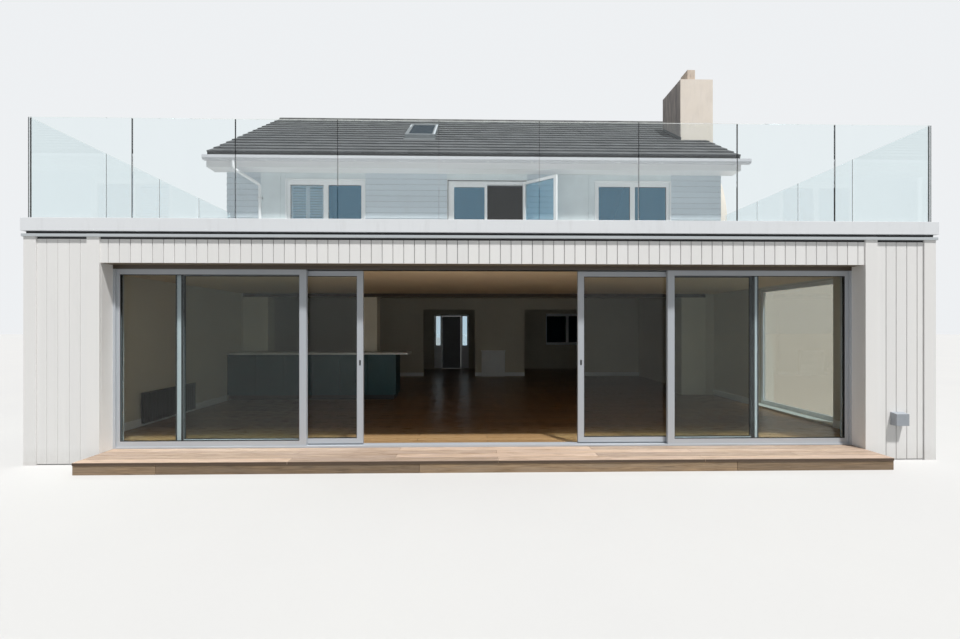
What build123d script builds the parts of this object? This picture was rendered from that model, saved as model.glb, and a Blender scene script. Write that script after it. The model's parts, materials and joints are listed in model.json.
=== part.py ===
from build123d import *
import os
from math import cos, radians, tan

# Two-storey seaside house with a flat-roofed glazed extension and a roof terrace.
# Millimetres. X runs to the right along the garden front, Y into the house, Z up.
# The origin is on the ground, in the middle of the extension's cladding face.

os.makedirs("parts", exist_ok=True)

# Levels above the ground
FLOOR_TOP = 140.0               # finished ground floor and top of the timber step
BEAM_UNDERSIDE = 2350.0
ROOM_CEILING = 2430.0           # ceiling of the extension
DOORWAY_HEAD = 2450.0           # underside of the lintel over the glazed doors
FIRST_FLOOR_UNDERSIDE = 2650.0
EXT_WALL_TOP = 2800.0           # where the trim round the terrace starts
TERRACE_TOP = 2940.0            # walking level of the roof terrace
FIRST_FLOOR_TOP = 2960.0
WINDOW_SILL = 4020.0
WINDOW_HEAD = 4960.0
SOFFIT_LEVEL = 5120.0
GUTTER_TOP = 5350.0
EAVES_TOP = 5430.0              # top of the tiles at the eaves
CHIMNEY_TOP = 7930.0

# Extension
EXT_WIDTH = 11240.0
EXT_DEPTH = 4850.0              # cladding face to the front wall of the house
EXT_WALL = 300.0
FRONT_WALL = 360.0
PIER_WIDTH = 900.0              # outer corner to the recess of the glazed doors
RECESS_DEPTH = 200.0
TRIM_PROUD = 16.0               # how far the trim boards stand in front of the cladding
OUTER_TRIM = 146.0              # trim board on the outer corner of each pier
INNER_TRIM = 152.0              # trim boards beside the recess

# Trim round the terrace
EDGE_WIDTH = 300.0
LOWER_BAND = 30.0
LOWER_BAND_OVERHANG = 18.0
GROOVE = 10.0
GROOVE_DEPTH = 30.0
COPING_HEIGHT = 150.0
COPING_OVERHANG = 28.0

# Glass balustrade
GLASS_RISE = 1230.0             # glass above the coping
GLASS_THICK = 22.0
GLASS_JOINT = 10.0
FRONT_PANES = 9
SIDE_PANES = 4
SHOE_WIDTH = 60.0
SHOE_HEIGHT = 120.0
SHOE_FLOOR = 20.0
SHOE_INSET = 3.0                # cladding face to the outer side of the shoe

# Glazed doors: outer frame
FRAME_DEPTH = 160.0
JAMB_FACE = 32.0
HEAD_FACE = 50.0
SILL_HEIGHT = 20.0
RAIL_WIDTH = 10.0
RAIL_HEIGHT = 6.0

# Glazed doors: leaves
LEAF_THICK = 52.0
LEAF_RAIL = 65.0                # height of the top and bottom members
JAMB_STILE = 42.0               # fixed leaf, beside the jamb
MEETING_STILE = 89.0            # fixed leaf, beside the sliding leaf
LEADING_STILE = 78.0            # sliding leaf, at the doorway
TRAILING_STILE = 100.0          # sliding leaf, behind the fixed leaf
LEAF_OVERLAP = 60.0
OUTER_LEAF_INSET = 20.0         # front of the outer frame to the fixed leaves
TRACK_GAP = 10.0                # fixed leaf to the sliding leaf behind it
LEAF_TOP_GAP = 8.0
LEAF_BOTTOM_GAP = 14.0
MEETING_GAP = 6.0
DOOR_GLASS = 28.0
GLASS_BITE = 15.0
ROLLER_RADIUS = 20.0
ROLLER_WIDTH = 16.0
ROLLER_INSET = 170.0
RUNNING_GAP = 0.3
LEFT_OPENED = 1611.0            # how far the left leaf stands open
RIGHT_OPENED = 1162.0           # how far the right leaf stands open
PULL_LEVEL = 1210.0
PULL_LENGTH = 60.0
PULL_WIDTH = 14.0
PULL_DEPTH = 6.0

# Timber step
STEP_REACH = 427.0              # how far it stands in front of the cladding
STEP_SIDE_GAP = 5.0
STEP_BOARD_THICK = 32.0
STEP_NOSING = 32.0

# House
HOUSE_LEFT_PROUD = 10.0         # left gable, beyond the side of the extension
HOUSE_RIGHT_RETURN = 150.0      # right gable, short of the side of the extension
HOUSE_DEPTH = 7320.0
HOUSE_WALL = 350.0

# Roof
PITCH = 31.5
ROOF_THICK = 150.0
EAVES_REACH = 330.0
VERGE_REACH = 265.0
RIDGE_RADIUS = 110.0
RIDGE_DROP = 42.0               # centre of the ridge tiles below the top of the slopes
BOARD_THICK = 25.0
BARGE_HEIGHT = 200.0

# Gutters and downpipe
GUTTER_WIDTH = 110.0
GUTTER_HEIGHT = 100.0
GUTTER_WALL = 6.0
GUTTER_HEEL = 20.0              # width of the slanted foot of the gutter
GUTTER_FOOT = 40.0              # height of the slanted foot of the gutter
GUTTER_LEFT_EXTRA = 40.0
GUTTER_RIGHT_EXTRA = 175.0
PIPE_RADIUS = 34.0
PIPE_BORE = 30.0
PIPE_BEND = 90.0
OUTLET_FROM_LEFT = 335.0        # left gable to the gutter outlet
PIPE_FROM_LEFT = 733.0          # left gable to the pipe on the wall
NECK_TOP = 5070.0
NECK_BOTTOM = 4835.0
PIPE_END_GAP = 60.0

# Windows
WINDOW_FRAME = 72.0
WINDOW_TOP_FACE = 100.0         # head member, thicker than the rest of the frame
MULLION = 108.0
WINDOW_DEPTH = 70.0
WINDOW_SET_BACK = 20.0
PANE_THICK = 24.0
SILL_THICK = 30.0
SILL_REACH = 60.0
SILL_HORN = 60.0
LEFT_WINDOW_PLACE = 2174.0      # left gable to the middle of the window
LEFT_WINDOW_WIDTH = 1720.0
RIGHT_WINDOW_PLACE = 2012.0     # right gable to the middle of the window
RIGHT_WINDOW_WIDTH = 1690.0
BACK_WINDOW_WIDTH = 1700.0
BACK_LOWER_SILL = 1040.0
BACK_LOWER_HEAD = 2200.0

# Terrace door, to the right of the middle of the house
TERRACE_DOOR_PLACE = 236.0
TERRACE_DOOR_WIDTH = 1756.0
SASH_FACE = 60.0
THRESHOLD = 20.0
LEAF_LAP = 30.0                 # open leaf over the frame when it is shut
OPEN_LEAF_ANGLE = 139.0

# Louvred shutters in the left light of the left window
SHUTTER_THICK = 28.0
SHUTTER_STILE = 40.0
SHUTTER_GAP = 6.0
LOUVRE_PITCH = 58.0
LOUVRE_WIDTH = 54.0
LOUVRE_THICK = 8.0
LOUVRE_TILT = 35.0
LOUVRE_BITE = 2.0

# Full-height window in the right wall of the extension
SIDE_WINDOW_START = 1300.0
SIDE_WINDOW_WIDTH = 2150.0
SIDE_WINDOW_BOTTOM = 170.0

# Chimney on the right gable
CHIMNEY_REACH = 430.0
STACK_WIDTH = 825.0
STACK_START = 1170.0            # front wall of the house to the stack
STACK_DEPTH = 1100.0
BREAST_SPREAD = 690.0           # breast beyond each side of the stack
SHOULDER_HEIGHT = 1570.0
SHOULDER_TOP = 5460.0
POT_WIDTH = 195.0
POT_DEPTH = 390.0
POT_RISE = 280.0
POT_WALL = 30.0
POT_FROM_LEFT = 215.0
POT_FROM_FRONT = 80.0

# Roof window, to the left of the middle of the house
ROOF_WINDOW_PLACE = -1396.0
ROOF_WINDOW_WIDTH = 760.0
ROOF_WINDOW_START = 1500.0      # eaves to its lower edge, on plan
ROOF_WINDOW_RUN = 1380.0
ROOF_WINDOW_RISE = 110.0
ROOF_WINDOW_FRAME = 85.0

# Inside: beam, post and nibs on the line of the old front wall
NIB_LENGTH = 550.0
POST_FROM_LEFT = 3169.0
POST_WIDTH = 290.0

# Inside: wall between the garden rooms and the hall, places from the middle of the house
HALL_WALL_FROM_FRONT = 4250.0
HALL_WALL_THICK = 120.0
HALL_DOORWAY_PLACE = -795.0
HALL_DOORWAY_WIDTH = 1610.0
BACK_DOORWAY_PLACE = 2520.0
BACK_DOORWAY_WIDTH = 1900.0
INNER_DOOR_HEAD = 2230.0

# Inside: kitchen counter in front of the post
COUNTER_LENGTH = 3780.0
COUNTER_DEPTH = 600.0
COUNTER_TOP = 1135.0
WORKTOP_THICK = 40.0
WORKTOP_LIP = 20.0              # worktop beyond the units at the front
WORKTOP_END = 260.0             # worktop beyond the units at the free end
PLINTH_HEIGHT = 100.0
PLINTH_SET_BACK = 50.0

# Entrance at the back, with a narrow light on each side of the door
ENTRANCE_PLACE = -838.0
ENTRANCE_WIDTH = 1290.0
ENTRANCE_HEAD = 2160.0
ENTRANCE_FRAME = 60.0
LIGHT_SILL = 1000.0
DOOR_WIDTH = 700.0
DOOR_THICK = 54.0
DOOR_GAP = 5.0
DOOR_PANEL_BORDER = 120.0
DOOR_PANEL_DEPTH = 8.0
HINGE_RADIUS = 6.0
HINGE_PLATE = 30.0
HINGE_LENGTH = 100.0
HINGE_LEVELS = (400.0, 1150.0, 1900.0)

# Outdoor socket on the right pier
SOCKET_FROM_RIGHT = 490.0
SOCKET_LEVEL = 523.0
SOCKET_SIZE = 160.0
SOCKET_DEPTH = 90.0
SOCKET_SLOPE = 14.0

# Lines and planes that follow from the sizes
EXT_RIGHT = EXT_WIDTH / 2
EXT_LEFT = -EXT_RIGHT
ROOM_LEFT = EXT_LEFT + EXT_WALL
ROOM_RIGHT = EXT_RIGHT - EXT_WALL
RECESS_RIGHT = EXT_RIGHT - PIER_WIDTH
RECESS_LEFT = EXT_LEFT + PIER_WIDTH
HOUSE_LEFT = EXT_LEFT - HOUSE_LEFT_PROUD
HOUSE_RIGHT = EXT_RIGHT - HOUSE_RIGHT_RETURN
HOUSE_MIDDLE = (HOUSE_LEFT + HOUSE_RIGHT) / 2
HOUSE_FRONT = EXT_DEPTH
HOUSE_BACK = HOUSE_FRONT + HOUSE_DEPTH
INNER_LEFT = HOUSE_LEFT + HOUSE_WALL
INNER_RIGHT = HOUSE_RIGHT - HOUSE_WALL
INNER_FRONT = HOUSE_FRONT + HOUSE_WALL
INNER_BACK = HOUSE_BACK - HOUSE_WALL
VERGE_LEFT = HOUSE_LEFT - VERGE_REACH
VERGE_RIGHT = HOUSE_RIGHT + VERGE_REACH
RIDGE_Y = HOUSE_FRONT + HOUSE_DEPTH / 2
FRONT_EAVES = HOUSE_FRONT - EAVES_REACH
BACK_EAVES = HOUSE_BACK + EAVES_REACH
SLOPE = tan(radians(PITCH))
ROOF_DROP = ROOF_THICK / cos(radians(PITCH))
RIDGE_TOP = EAVES_TOP + (RIDGE_Y - FRONT_EAVES) * SLOPE
BAND_TOP = EXT_WALL_TOP + LOWER_BAND
GROOVE_TOP = BAND_TOP + GROOVE
COPING_TOP = GROOVE_TOP + COPING_HEIGHT
SHOE_BOTTOM = COPING_TOP - SHOE_HEIGHT
GLASS_BOTTOM = SHOE_BOTTOM + SHOE_FLOOR
GLASS_TOP = COPING_TOP + GLASS_RISE
GLASS_INSET = SHOE_INSET + (SHOE_WIDTH - GLASS_THICK) / 2
CLEAR_LEFT = RECESS_LEFT + JAMB_FACE
CLEAR_RIGHT = RECESS_RIGHT - JAMB_FACE
CLEAR_BOTTOM = FLOOR_TOP + SILL_HEIGHT
CLEAR_TOP = DOORWAY_HEAD - HEAD_FACE
LEAF_WIDTH = (CLEAR_RIGHT - CLEAR_LEFT + 2 * LEAF_OVERLAP - MEETING_GAP) / 4
OUTER_LEAF_Y = RECESS_DEPTH + OUTER_LEAF_INSET
INNER_LEAF_Y = OUTER_LEAF_Y + LEAF_THICK + TRACK_GAP
RAIL_Y = INNER_LEAF_Y + LEAF_THICK / 2
STACK_FRONT = HOUSE_FRONT + STACK_START
STACK_BACK = STACK_FRONT + STACK_DEPTH
CHIMNEY_RIGHT = HOUSE_RIGHT + CHIMNEY_REACH
STACK_LEFT = CHIMNEY_RIGHT - STACK_WIDTH
HALL_WALL_Y = HOUSE_FRONT + HALL_WALL_FROM_FRONT


def span(middle, width):
    """Both limits of a width about its middle."""
    return middle - width / 2, middle + width / 2


LEFT_WINDOW = span(HOUSE_LEFT + LEFT_WINDOW_PLACE, LEFT_WINDOW_WIDTH)
RIGHT_WINDOW = span(HOUSE_RIGHT - RIGHT_WINDOW_PLACE, RIGHT_WINDOW_WIDTH)
TERRACE_DOOR = span(HOUSE_MIDDLE + TERRACE_DOOR_PLACE, TERRACE_DOOR_WIDTH)
ENTRANCE = span(HOUSE_MIDDLE + ENTRANCE_PLACE, ENTRANCE_WIDTH)
BACK_LEFT_WINDOW = span(HOUSE_LEFT + LEFT_WINDOW_PLACE, BACK_WINDOW_WIDTH)
BACK_MIDDLE_WINDOW = span(HOUSE_MIDDLE + ENTRANCE_PLACE, BACK_WINDOW_WIDTH)
BACK_RIGHT_WINDOW = span(HOUSE_RIGHT - RIGHT_WINDOW_PLACE, BACK_WINDOW_WIDTH)
HALL_DOORWAY = span(HOUSE_MIDDLE + HALL_DOORWAY_PLACE, HALL_DOORWAY_WIDTH)
BACK_DOORWAY = span(HOUSE_MIDDLE + BACK_DOORWAY_PLACE, BACK_DOORWAY_WIDTH)
POST = span(HOUSE_LEFT + POST_FROM_LEFT, POST_WIDTH)
ROOF_WINDOW = span(HOUSE_MIDDLE + ROOF_WINDOW_PLACE, ROOF_WINDOW_WIDTH)


def block(x0, x1, y0, y1, z0, z1):
    """Rectangular solid between the given limits."""
    return Pos((x0 + x1) / 2, (y0 + y1) / 2, (z0 + z1) / 2) * Box(x1 - x0, y1 - y0, z1 - z0)


def along_x(points, x0, x1):
    """Prism along X with its outline given as (y, z) points."""
    face = Plane.YZ.offset(x0) * make_face(Polyline(*points, close=True))
    return extrude(face, x1 - x0, dir=(1, 0, 0))


def group(solids):
    """Separate solids kept as one sub-part."""
    return Compound(children=[solid for item in solids for solid in item.solids()])


def roof_top(y):
    """Height of the top of the slopes at y."""
    return RIDGE_TOP - abs(RIDGE_Y - y) * SLOPE


def roof_under(y):
    """Height of the underside of the slopes at y."""
    return roof_top(y) - ROOF_DROP


def glazed_leaf(x0, x1, y0, y1, z0, z1, left_stile, right_stile, rail, glass):
    """Frame round one pane, and the pane seated in its groove."""
    frame = block(x0, x1, y0, y1, z0, z1)
    frame -= block(x0 + left_stile, x1 - right_stile, y0, y1, z0 + rail, z1 - rail)
    middle = (y0 + y1) / 2
    pane = block(x0 + left_stile - GLASS_BITE, x1 - right_stile + GLASS_BITE,
                 middle - glass / 2, middle + glass / 2,
                 z0 + rail - GLASS_BITE, z1 - rail + GLASS_BITE)
    return frame - pane, pane


# Extension

def ground_floor():
    """Slab in the extension, across the line of the old front wall and in the house."""
    under_doors = block(RECESS_LEFT, RECESS_RIGHT, RECESS_DEPTH, FRONT_WALL, 0, FLOOR_TOP)
    garden_room = block(ROOM_LEFT, ROOM_RIGHT, FRONT_WALL, HOUSE_FRONT, 0, FLOOR_TOP)
    crossing = block(INNER_LEFT + NIB_LENGTH, INNER_RIGHT - NIB_LENGTH, HOUSE_FRONT, INNER_FRONT,
                     0, FLOOR_TOP)
    crossing -= block(*POST, HOUSE_FRONT, INNER_FRONT, 0, FLOOR_TOP)
    house = block(INNER_LEFT, INNER_RIGHT, INNER_FRONT, INNER_BACK, 0, FLOOR_TOP)
    doorstep = block(*ENTRANCE, INNER_BACK, HOUSE_BACK, 0, FLOOR_TOP)
    return under_doors + garden_room + crossing + house + doorstep


def front_piers():
    """Piers on both sides of the recess."""
    return group([block(EXT_LEFT, RECESS_LEFT, 0, FRONT_WALL, 0, EXT_WALL_TOP),
                  block(RECESS_RIGHT, EXT_RIGHT, 0, FRONT_WALL, 0, EXT_WALL_TOP)])


def pier_trim_boards():
    """Trim boards up both edges of each pier."""
    edges = ((EXT_LEFT, EXT_LEFT + OUTER_TRIM), (RECESS_LEFT - INNER_TRIM, RECESS_LEFT),
             (RECESS_RIGHT, RECESS_RIGHT + INNER_TRIM), (EXT_RIGHT - OUTER_TRIM, EXT_RIGHT))
    return group([block(x0, x1, -TRIM_PROUD, 0, 0, EXT_WALL_TOP) for x0, x1 in edges])


def extension_right_wall():
    """Side wall with the opening of the full-height window."""
    wall = block(ROOM_RIGHT, EXT_RIGHT, FRONT_WALL, HOUSE_FRONT, 0, EXT_WALL_TOP)
    end = SIDE_WINDOW_START + SIDE_WINDOW_WIDTH
    return wall - block(ROOM_RIGHT, EXT_RIGHT, SIDE_WINDOW_START, end, SIDE_WINDOW_BOTTOM, ROOM_CEILING)


def edge_run(outset, width, z0, z1):
    """U-shaped run along the front and both sides, its outer faces outset from the cladding."""
    outer = block(EXT_LEFT - outset, EXT_RIGHT + outset, -outset, HOUSE_FRONT, z0, z1)
    inset = width - outset
    return outer - block(EXT_LEFT + inset, EXT_RIGHT - inset, inset, HOUSE_FRONT, z0, z1)


def terrace_coping():
    """Lower band, shadow groove and coping, with the slot that holds the balustrade shoe."""
    band = edge_run(LOWER_BAND_OVERHANG, EDGE_WIDTH + LOWER_BAND_OVERHANG, EXT_WALL_TOP, BAND_TOP)
    groove = edge_run(-GROOVE_DEPTH, EDGE_WIDTH - GROOVE_DEPTH, BAND_TOP, GROOVE_TOP)
    coping = edge_run(COPING_OVERHANG, EDGE_WIDTH + COPING_OVERHANG, GROOVE_TOP, COPING_TOP)
    slot = edge_run(-SHOE_INSET, SHOE_WIDTH, SHOE_BOTTOM, COPING_TOP)
    return band + groove + (coping - slot)


def balustrade_shoe():
    """Channel that clamps the foot of the glass."""
    shoe = edge_run(-SHOE_INSET, SHOE_WIDTH, SHOE_BOTTOM, COPING_TOP)
    return shoe - edge_run(-GLASS_INSET, GLASS_THICK, GLASS_BOTTOM, COPING_TOP)


def pane_row(start, length, count):
    """Start and end of each pane in a row with open joints."""
    pane = (length - (count - 1) * GLASS_JOINT) / count
    return [(start + i * (pane + GLASS_JOINT), start + i * (pane + GLASS_JOINT) + pane) for i in range(count)]


def front_balustrade_glass():
    row = pane_row(EXT_LEFT + GLASS_INSET, EXT_WIDTH - 2 * GLASS_INSET, FRONT_PANES)
    back = GLASS_INSET + GLASS_THICK
    return group([block(x0, x1, GLASS_INSET, back, GLASS_BOTTOM, GLASS_TOP) for x0, x1 in row])


def side_balustrade_glass():
    start = GLASS_INSET + GLASS_THICK + GLASS_JOINT
    row = pane_row(start, HOUSE_FRONT - GLASS_JOINT - start, SIDE_PANES)
    panes = []
    for x0 in (EXT_LEFT + GLASS_INSET, EXT_RIGHT - GLASS_INSET - GLASS_THICK):
        panes += [block(x0, x0 + GLASS_THICK, y0, y1, GLASS_BOTTOM, GLASS_TOP) for y0, y1 in row]
    return group(panes)


# Glazed doors

def door_outer_frame():
    """Head, jambs and sill round all four leaves, with the running rail on the sill."""
    back = RECESS_DEPTH + FRAME_DEPTH
    frame = block(RECESS_LEFT, RECESS_RIGHT, RECESS_DEPTH, back, FLOOR_TOP, DOORWAY_HEAD)
    frame -= block(CLEAR_LEFT, CLEAR_RIGHT, RECESS_DEPTH, back, CLEAR_BOTTOM, CLEAR_TOP)
    return frame + block(CLEAR_LEFT, CLEAR_RIGHT, *span(RAIL_Y, RAIL_WIDTH), CLEAR_BOTTOM,
                         CLEAR_BOTTOM + RAIL_HEIGHT)


def fixed_leaves():
    """Frames and panes of the two outermost leaves, seated in the outer frame."""
    y1 = OUTER_LEAF_Y + LEAF_THICK
    left = glazed_leaf(CLEAR_LEFT, CLEAR_LEFT + LEAF_WIDTH, OUTER_LEAF_Y, y1, CLEAR_BOTTOM, CLEAR_TOP,
                       JAMB_STILE, MEETING_STILE, LEAF_RAIL, DOOR_GLASS)
    right = glazed_leaf(CLEAR_RIGHT - LEAF_WIDTH, CLEAR_RIGHT, OUTER_LEAF_Y, y1, CLEAR_BOTTOM, CLEAR_TOP,
                        MEETING_STILE, JAMB_STILE, LEAF_RAIL, DOOR_GLASS)
    return group([left[0], right[0]]), group([left[1], right[1]])


def sliding_leaf(side, opened):
    """One sliding leaf with its rollers and finger pull. side is -1 on the left, 1 on the right."""
    meeting = side * (MEETING_GAP / 2 + opened)
    x0, x1 = sorted((meeting, meeting + side * LEAF_WIDTH))
    stiles = (TRAILING_STILE, LEADING_STILE) if side < 0 else (LEADING_STILE, TRAILING_STILE)
    frame, pane = glazed_leaf(x0, x1, INNER_LEAF_Y, INNER_LEAF_Y + LEAF_THICK,
                              CLEAR_BOTTOM + LEAF_BOTTOM_GAP, CLEAR_TOP - LEAF_TOP_GAP,
                              *stiles, LEAF_RAIL, DOOR_GLASS)
    roller_z = CLEAR_BOTTOM + RAIL_HEIGHT + RUNNING_GAP + ROLLER_RADIUS
    roller = Rot(90, 0, 0) * Cylinder(ROLLER_RADIUS, ROLLER_WIDTH)
    for x in (x0 + ROLLER_INSET, x1 - ROLLER_INSET):
        frame += Pos(x, RAIL_Y, roller_z) * roller
    pull_x = meeting + side * LEADING_STILE / 2
    pull = block(*span(pull_x, PULL_WIDTH), INNER_LEAF_Y, INNER_LEAF_Y + PULL_DEPTH,
                 *span(PULL_LEVEL, PULL_LENGTH))
    return frame - pull, pane


def timber_step():
    """Boards in the recess and in front of it, with the riser set back under the nosing."""
    under = FLOOR_TOP - STEP_BOARD_THICK
    outline = [(RECESS_DEPTH, 0), (RECESS_DEPTH, FLOOR_TOP), (-STEP_REACH, FLOOR_TOP), (-STEP_REACH, under),
               (STEP_NOSING - STEP_REACH, under), (STEP_NOSING - STEP_REACH, 0)]
    return along_x(outline, RECESS_LEFT + STEP_SIDE_GAP, RECESS_RIGHT - STEP_SIDE_GAP)


def outdoor_socket():
    """Weatherproof box with a sloping top."""
    x0, x1 = span(EXT_RIGHT - SOCKET_FROM_RIGHT, SOCKET_SIZE)
    z0, z1 = span(SOCKET_LEVEL, SOCKET_SIZE)
    return along_x([(0, z0), (-SOCKET_DEPTH, z0), (-SOCKET_DEPTH, z1 - SOCKET_SLOPE), (0, z1)], x0, x1)


# House walls and floors

def gable(x0, x1):
    """End wall up to the underside of the roof."""
    outline = [(HOUSE_FRONT, 0), (HOUSE_FRONT, roof_under(HOUSE_FRONT)), (RIDGE_Y, roof_under(RIDGE_Y)),
               (HOUSE_BACK, roof_under(HOUSE_BACK)), (HOUSE_BACK, 0)]
    return along_x(outline, x0, x1)


def upper_wall(outer_y, inner_y):
    """Long wall above the ground floor, its top cut to the slope of the roof."""
    outline = [(outer_y, FIRST_FLOOR_UNDERSIDE), (outer_y, roof_under(outer_y)),
               (inner_y, roof_under(inner_y)), (inner_y, FIRST_FLOOR_UNDERSIDE)]
    return along_x(outline, INNER_LEFT, INNER_RIGHT)


def upper_front_wall():
    wall = upper_wall(HOUSE_FRONT, INNER_FRONT)
    for opening in (LEFT_WINDOW, RIGHT_WINDOW):
        wall -= block(*opening, HOUSE_FRONT, INNER_FRONT, WINDOW_SILL - SILL_THICK, WINDOW_HEAD)
    return wall - block(*TERRACE_DOOR, HOUSE_FRONT, INNER_FRONT, FIRST_FLOOR_TOP, WINDOW_HEAD)


def back_wall_upper():
    """Upper storey of the back wall, with the part over the entrance."""
    wall = upper_wall(HOUSE_BACK, INNER_BACK)
    for opening in (BACK_LEFT_WINDOW, BACK_MIDDLE_WINDOW, BACK_RIGHT_WINDOW):
        wall -= block(*opening, INNER_BACK, HOUSE_BACK, WINDOW_SILL - SILL_THICK, WINDOW_HEAD)
    return wall + block(*ENTRANCE, INNER_BACK, HOUSE_BACK, ENTRANCE_HEAD, FIRST_FLOOR_UNDERSIDE)


def back_wall_lower():
    """Ground storey of the back wall, on both sides of the entrance."""
    left = block(INNER_LEFT, ENTRANCE[0], INNER_BACK, HOUSE_BACK, 0, FIRST_FLOOR_UNDERSIDE)
    right = block(ENTRANCE[1], INNER_RIGHT, INNER_BACK, HOUSE_BACK, 0, FIRST_FLOOR_UNDERSIDE)
    holes = [block(*opening, INNER_BACK, HOUSE_BACK, BACK_LOWER_SILL - SILL_THICK, BACK_LOWER_HEAD)
             for opening in (BACK_LEFT_WINDOW, BACK_RIGHT_WINDOW)]
    return group([left - holes[0], right - holes[1]])


def support_frame():
    """Beam on two nibs and a post, where the old front wall was taken out."""
    frame = block(INNER_LEFT, INNER_RIGHT, HOUSE_FRONT, INNER_FRONT, BEAM_UNDERSIDE, FIRST_FLOOR_UNDERSIDE)
    for legs in ((INNER_LEFT, INNER_LEFT + NIB_LENGTH), POST, (INNER_RIGHT - NIB_LENGTH, INNER_RIGHT)):
        frame += block(*legs, HOUSE_FRONT, INNER_FRONT, 0, BEAM_UNDERSIDE)
    return frame


def hall_wall():
    back = HALL_WALL_Y + HALL_WALL_THICK
    wall = block(INNER_LEFT, INNER_RIGHT, HALL_WALL_Y, back, FLOOR_TOP, FIRST_FLOOR_UNDERSIDE)
    for opening in (HALL_DOORWAY, BACK_DOORWAY):
        wall -= block(*opening, HALL_WALL_Y, back, FLOOR_TOP, INNER_DOOR_HEAD)
    return wall


def kitchen_counter():
    """Base units on a recessed plinth, under a worktop that reaches past them."""
    end = ROOM_LEFT + COUNTER_LENGTH
    x1 = end - WORKTOP_END
    y1 = HOUSE_FRONT
    y0 = y1 - COUNTER_DEPTH
    under = COUNTER_TOP - WORKTOP_THICK
    plinth_top = FLOOR_TOP + PLINTH_HEIGHT
    plinth = block(ROOM_LEFT, x1 - PLINTH_SET_BACK, y0 + PLINTH_SET_BACK, y1, FLOOR_TOP, plinth_top)
    units = block(ROOM_LEFT, x1, y0, y1, plinth_top, under)
    return plinth + units + block(ROOM_LEFT, end, y0 - WORKTOP_LIP, y1, under, COUNTER_TOP)


# Chimney

def chimney():
    """Breast with curved shoulders outside the gable, and the stack through the roof."""
    low = SHOULDER_TOP - SHOULDER_HEIGHT
    middle = (STACK_FRONT + STACK_BACK) / 2
    foot = Pos(middle, low / 2) * Rectangle(STACK_DEPTH + 2 * BREAST_SPREAD, low)
    neck = Pos(middle, low + SHOULDER_HEIGHT / 2) * Rectangle(STACK_DEPTH, SHOULDER_HEIGHT)
    shoulder = Ellipse(BREAST_SPREAD, SHOULDER_HEIGHT)
    outline = foot + neck + Pos(STACK_FRONT, low) * shoulder + Pos(STACK_BACK, low) * shoulder
    breast = extrude(Plane.YZ.offset(HOUSE_RIGHT) * outline, CHIMNEY_REACH, dir=(1, 0, 0))
    return breast + block(STACK_LEFT, CHIMNEY_RIGHT, STACK_FRONT, STACK_BACK, SHOULDER_TOP, CHIMNEY_TOP)


def chimney_pot():
    """Square-cornered flue terminal, open at the top."""
    x0 = STACK_LEFT + POT_FROM_LEFT
    y0 = STACK_FRONT + POT_FROM_FRONT
    top = CHIMNEY_TOP + POT_RISE
    pot = block(x0, x0 + POT_WIDTH, y0, y0 + POT_DEPTH, CHIMNEY_TOP, top)
    return pot - block(x0 + POT_WALL, x0 + POT_WIDTH - POT_WALL, y0 + POT_WALL, y0 + POT_DEPTH - POT_WALL,
                       CHIMNEY_TOP + POT_WALL, top)


# Roof

def slope_prism(eaves_y, x0, x1):
    """One roof slope, from an eaves line to the ridge."""
    return along_x([(eaves_y, roof_under(eaves_y)), (eaves_y, roof_top(eaves_y)), (RIDGE_Y, RIDGE_TOP),
                    (RIDGE_Y, roof_under(RIDGE_Y))], x0, x1)


def roof_patch(y0, y1, under, over, x0, x1):
    """Prism along the front slope between two distances from its top surface."""
    return along_x([(y0, roof_top(y0) + under), (y0, roof_top(y0) + over), (y1, roof_top(y1) + over),
                    (y1, roof_top(y1) + under)], x0, x1)


def front_roof():
    """Front slope with the openings for the stack and the roof window, the window and its pane."""
    y0 = FRONT_EAVES + ROOF_WINDOW_START
    y1 = y0 + ROOF_WINDOW_RUN
    x0, x1 = ROOF_WINDOW
    rise = ROOF_WINDOW_RISE / cos(radians(PITCH))
    slope = slope_prism(FRONT_EAVES, VERGE_LEFT, VERGE_RIGHT)
    slope -= block(STACK_LEFT, CHIMNEY_RIGHT, STACK_FRONT, STACK_BACK, SHOULDER_TOP, CHIMNEY_TOP)
    slope -= roof_patch(y0, y1, -ROOF_DROP, 0, x0, x1)
    frame = roof_patch(y0, y1, -ROOF_DROP, rise, x0, x1)
    frame -= roof_patch(y0 + ROOF_WINDOW_FRAME, y1 - ROOF_WINDOW_FRAME, -ROOF_DROP, rise,
                        x0 + ROOF_WINDOW_FRAME, x1 - ROOF_WINDOW_FRAME)
    bite = ROOF_WINDOW_FRAME - GLASS_BITE
    glass_top = rise - PANE_THICK
    pane = roof_patch(y0 + bite, y1 - bite, glass_top - PANE_THICK, glass_top, x0 + bite, x1 - bite)
    return slope, frame - pane, pane


def ridge_tiles():
    """Half-round ridge bedded on both slopes."""
    length = VERGE_RIGHT - VERGE_LEFT
    tube = Pos((VERGE_LEFT + VERGE_RIGHT) / 2, RIDGE_Y, RIDGE_TOP - RIDGE_DROP) * (
        Rot(0, 90, 0) * Cylinder(RIDGE_RADIUS, length))
    reach = 2 * RIDGE_RADIUS
    low = RIDGE_TOP - 2 * reach
    slopes = along_x([(RIDGE_Y - reach, low), (RIDGE_Y - reach, roof_top(RIDGE_Y - reach)),
                      (RIDGE_Y, RIDGE_TOP), (RIDGE_Y + reach, roof_top(RIDGE_Y + reach)),
                      (RIDGE_Y + reach, low)], VERGE_LEFT, VERGE_RIGHT)
    return tube - slopes


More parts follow.
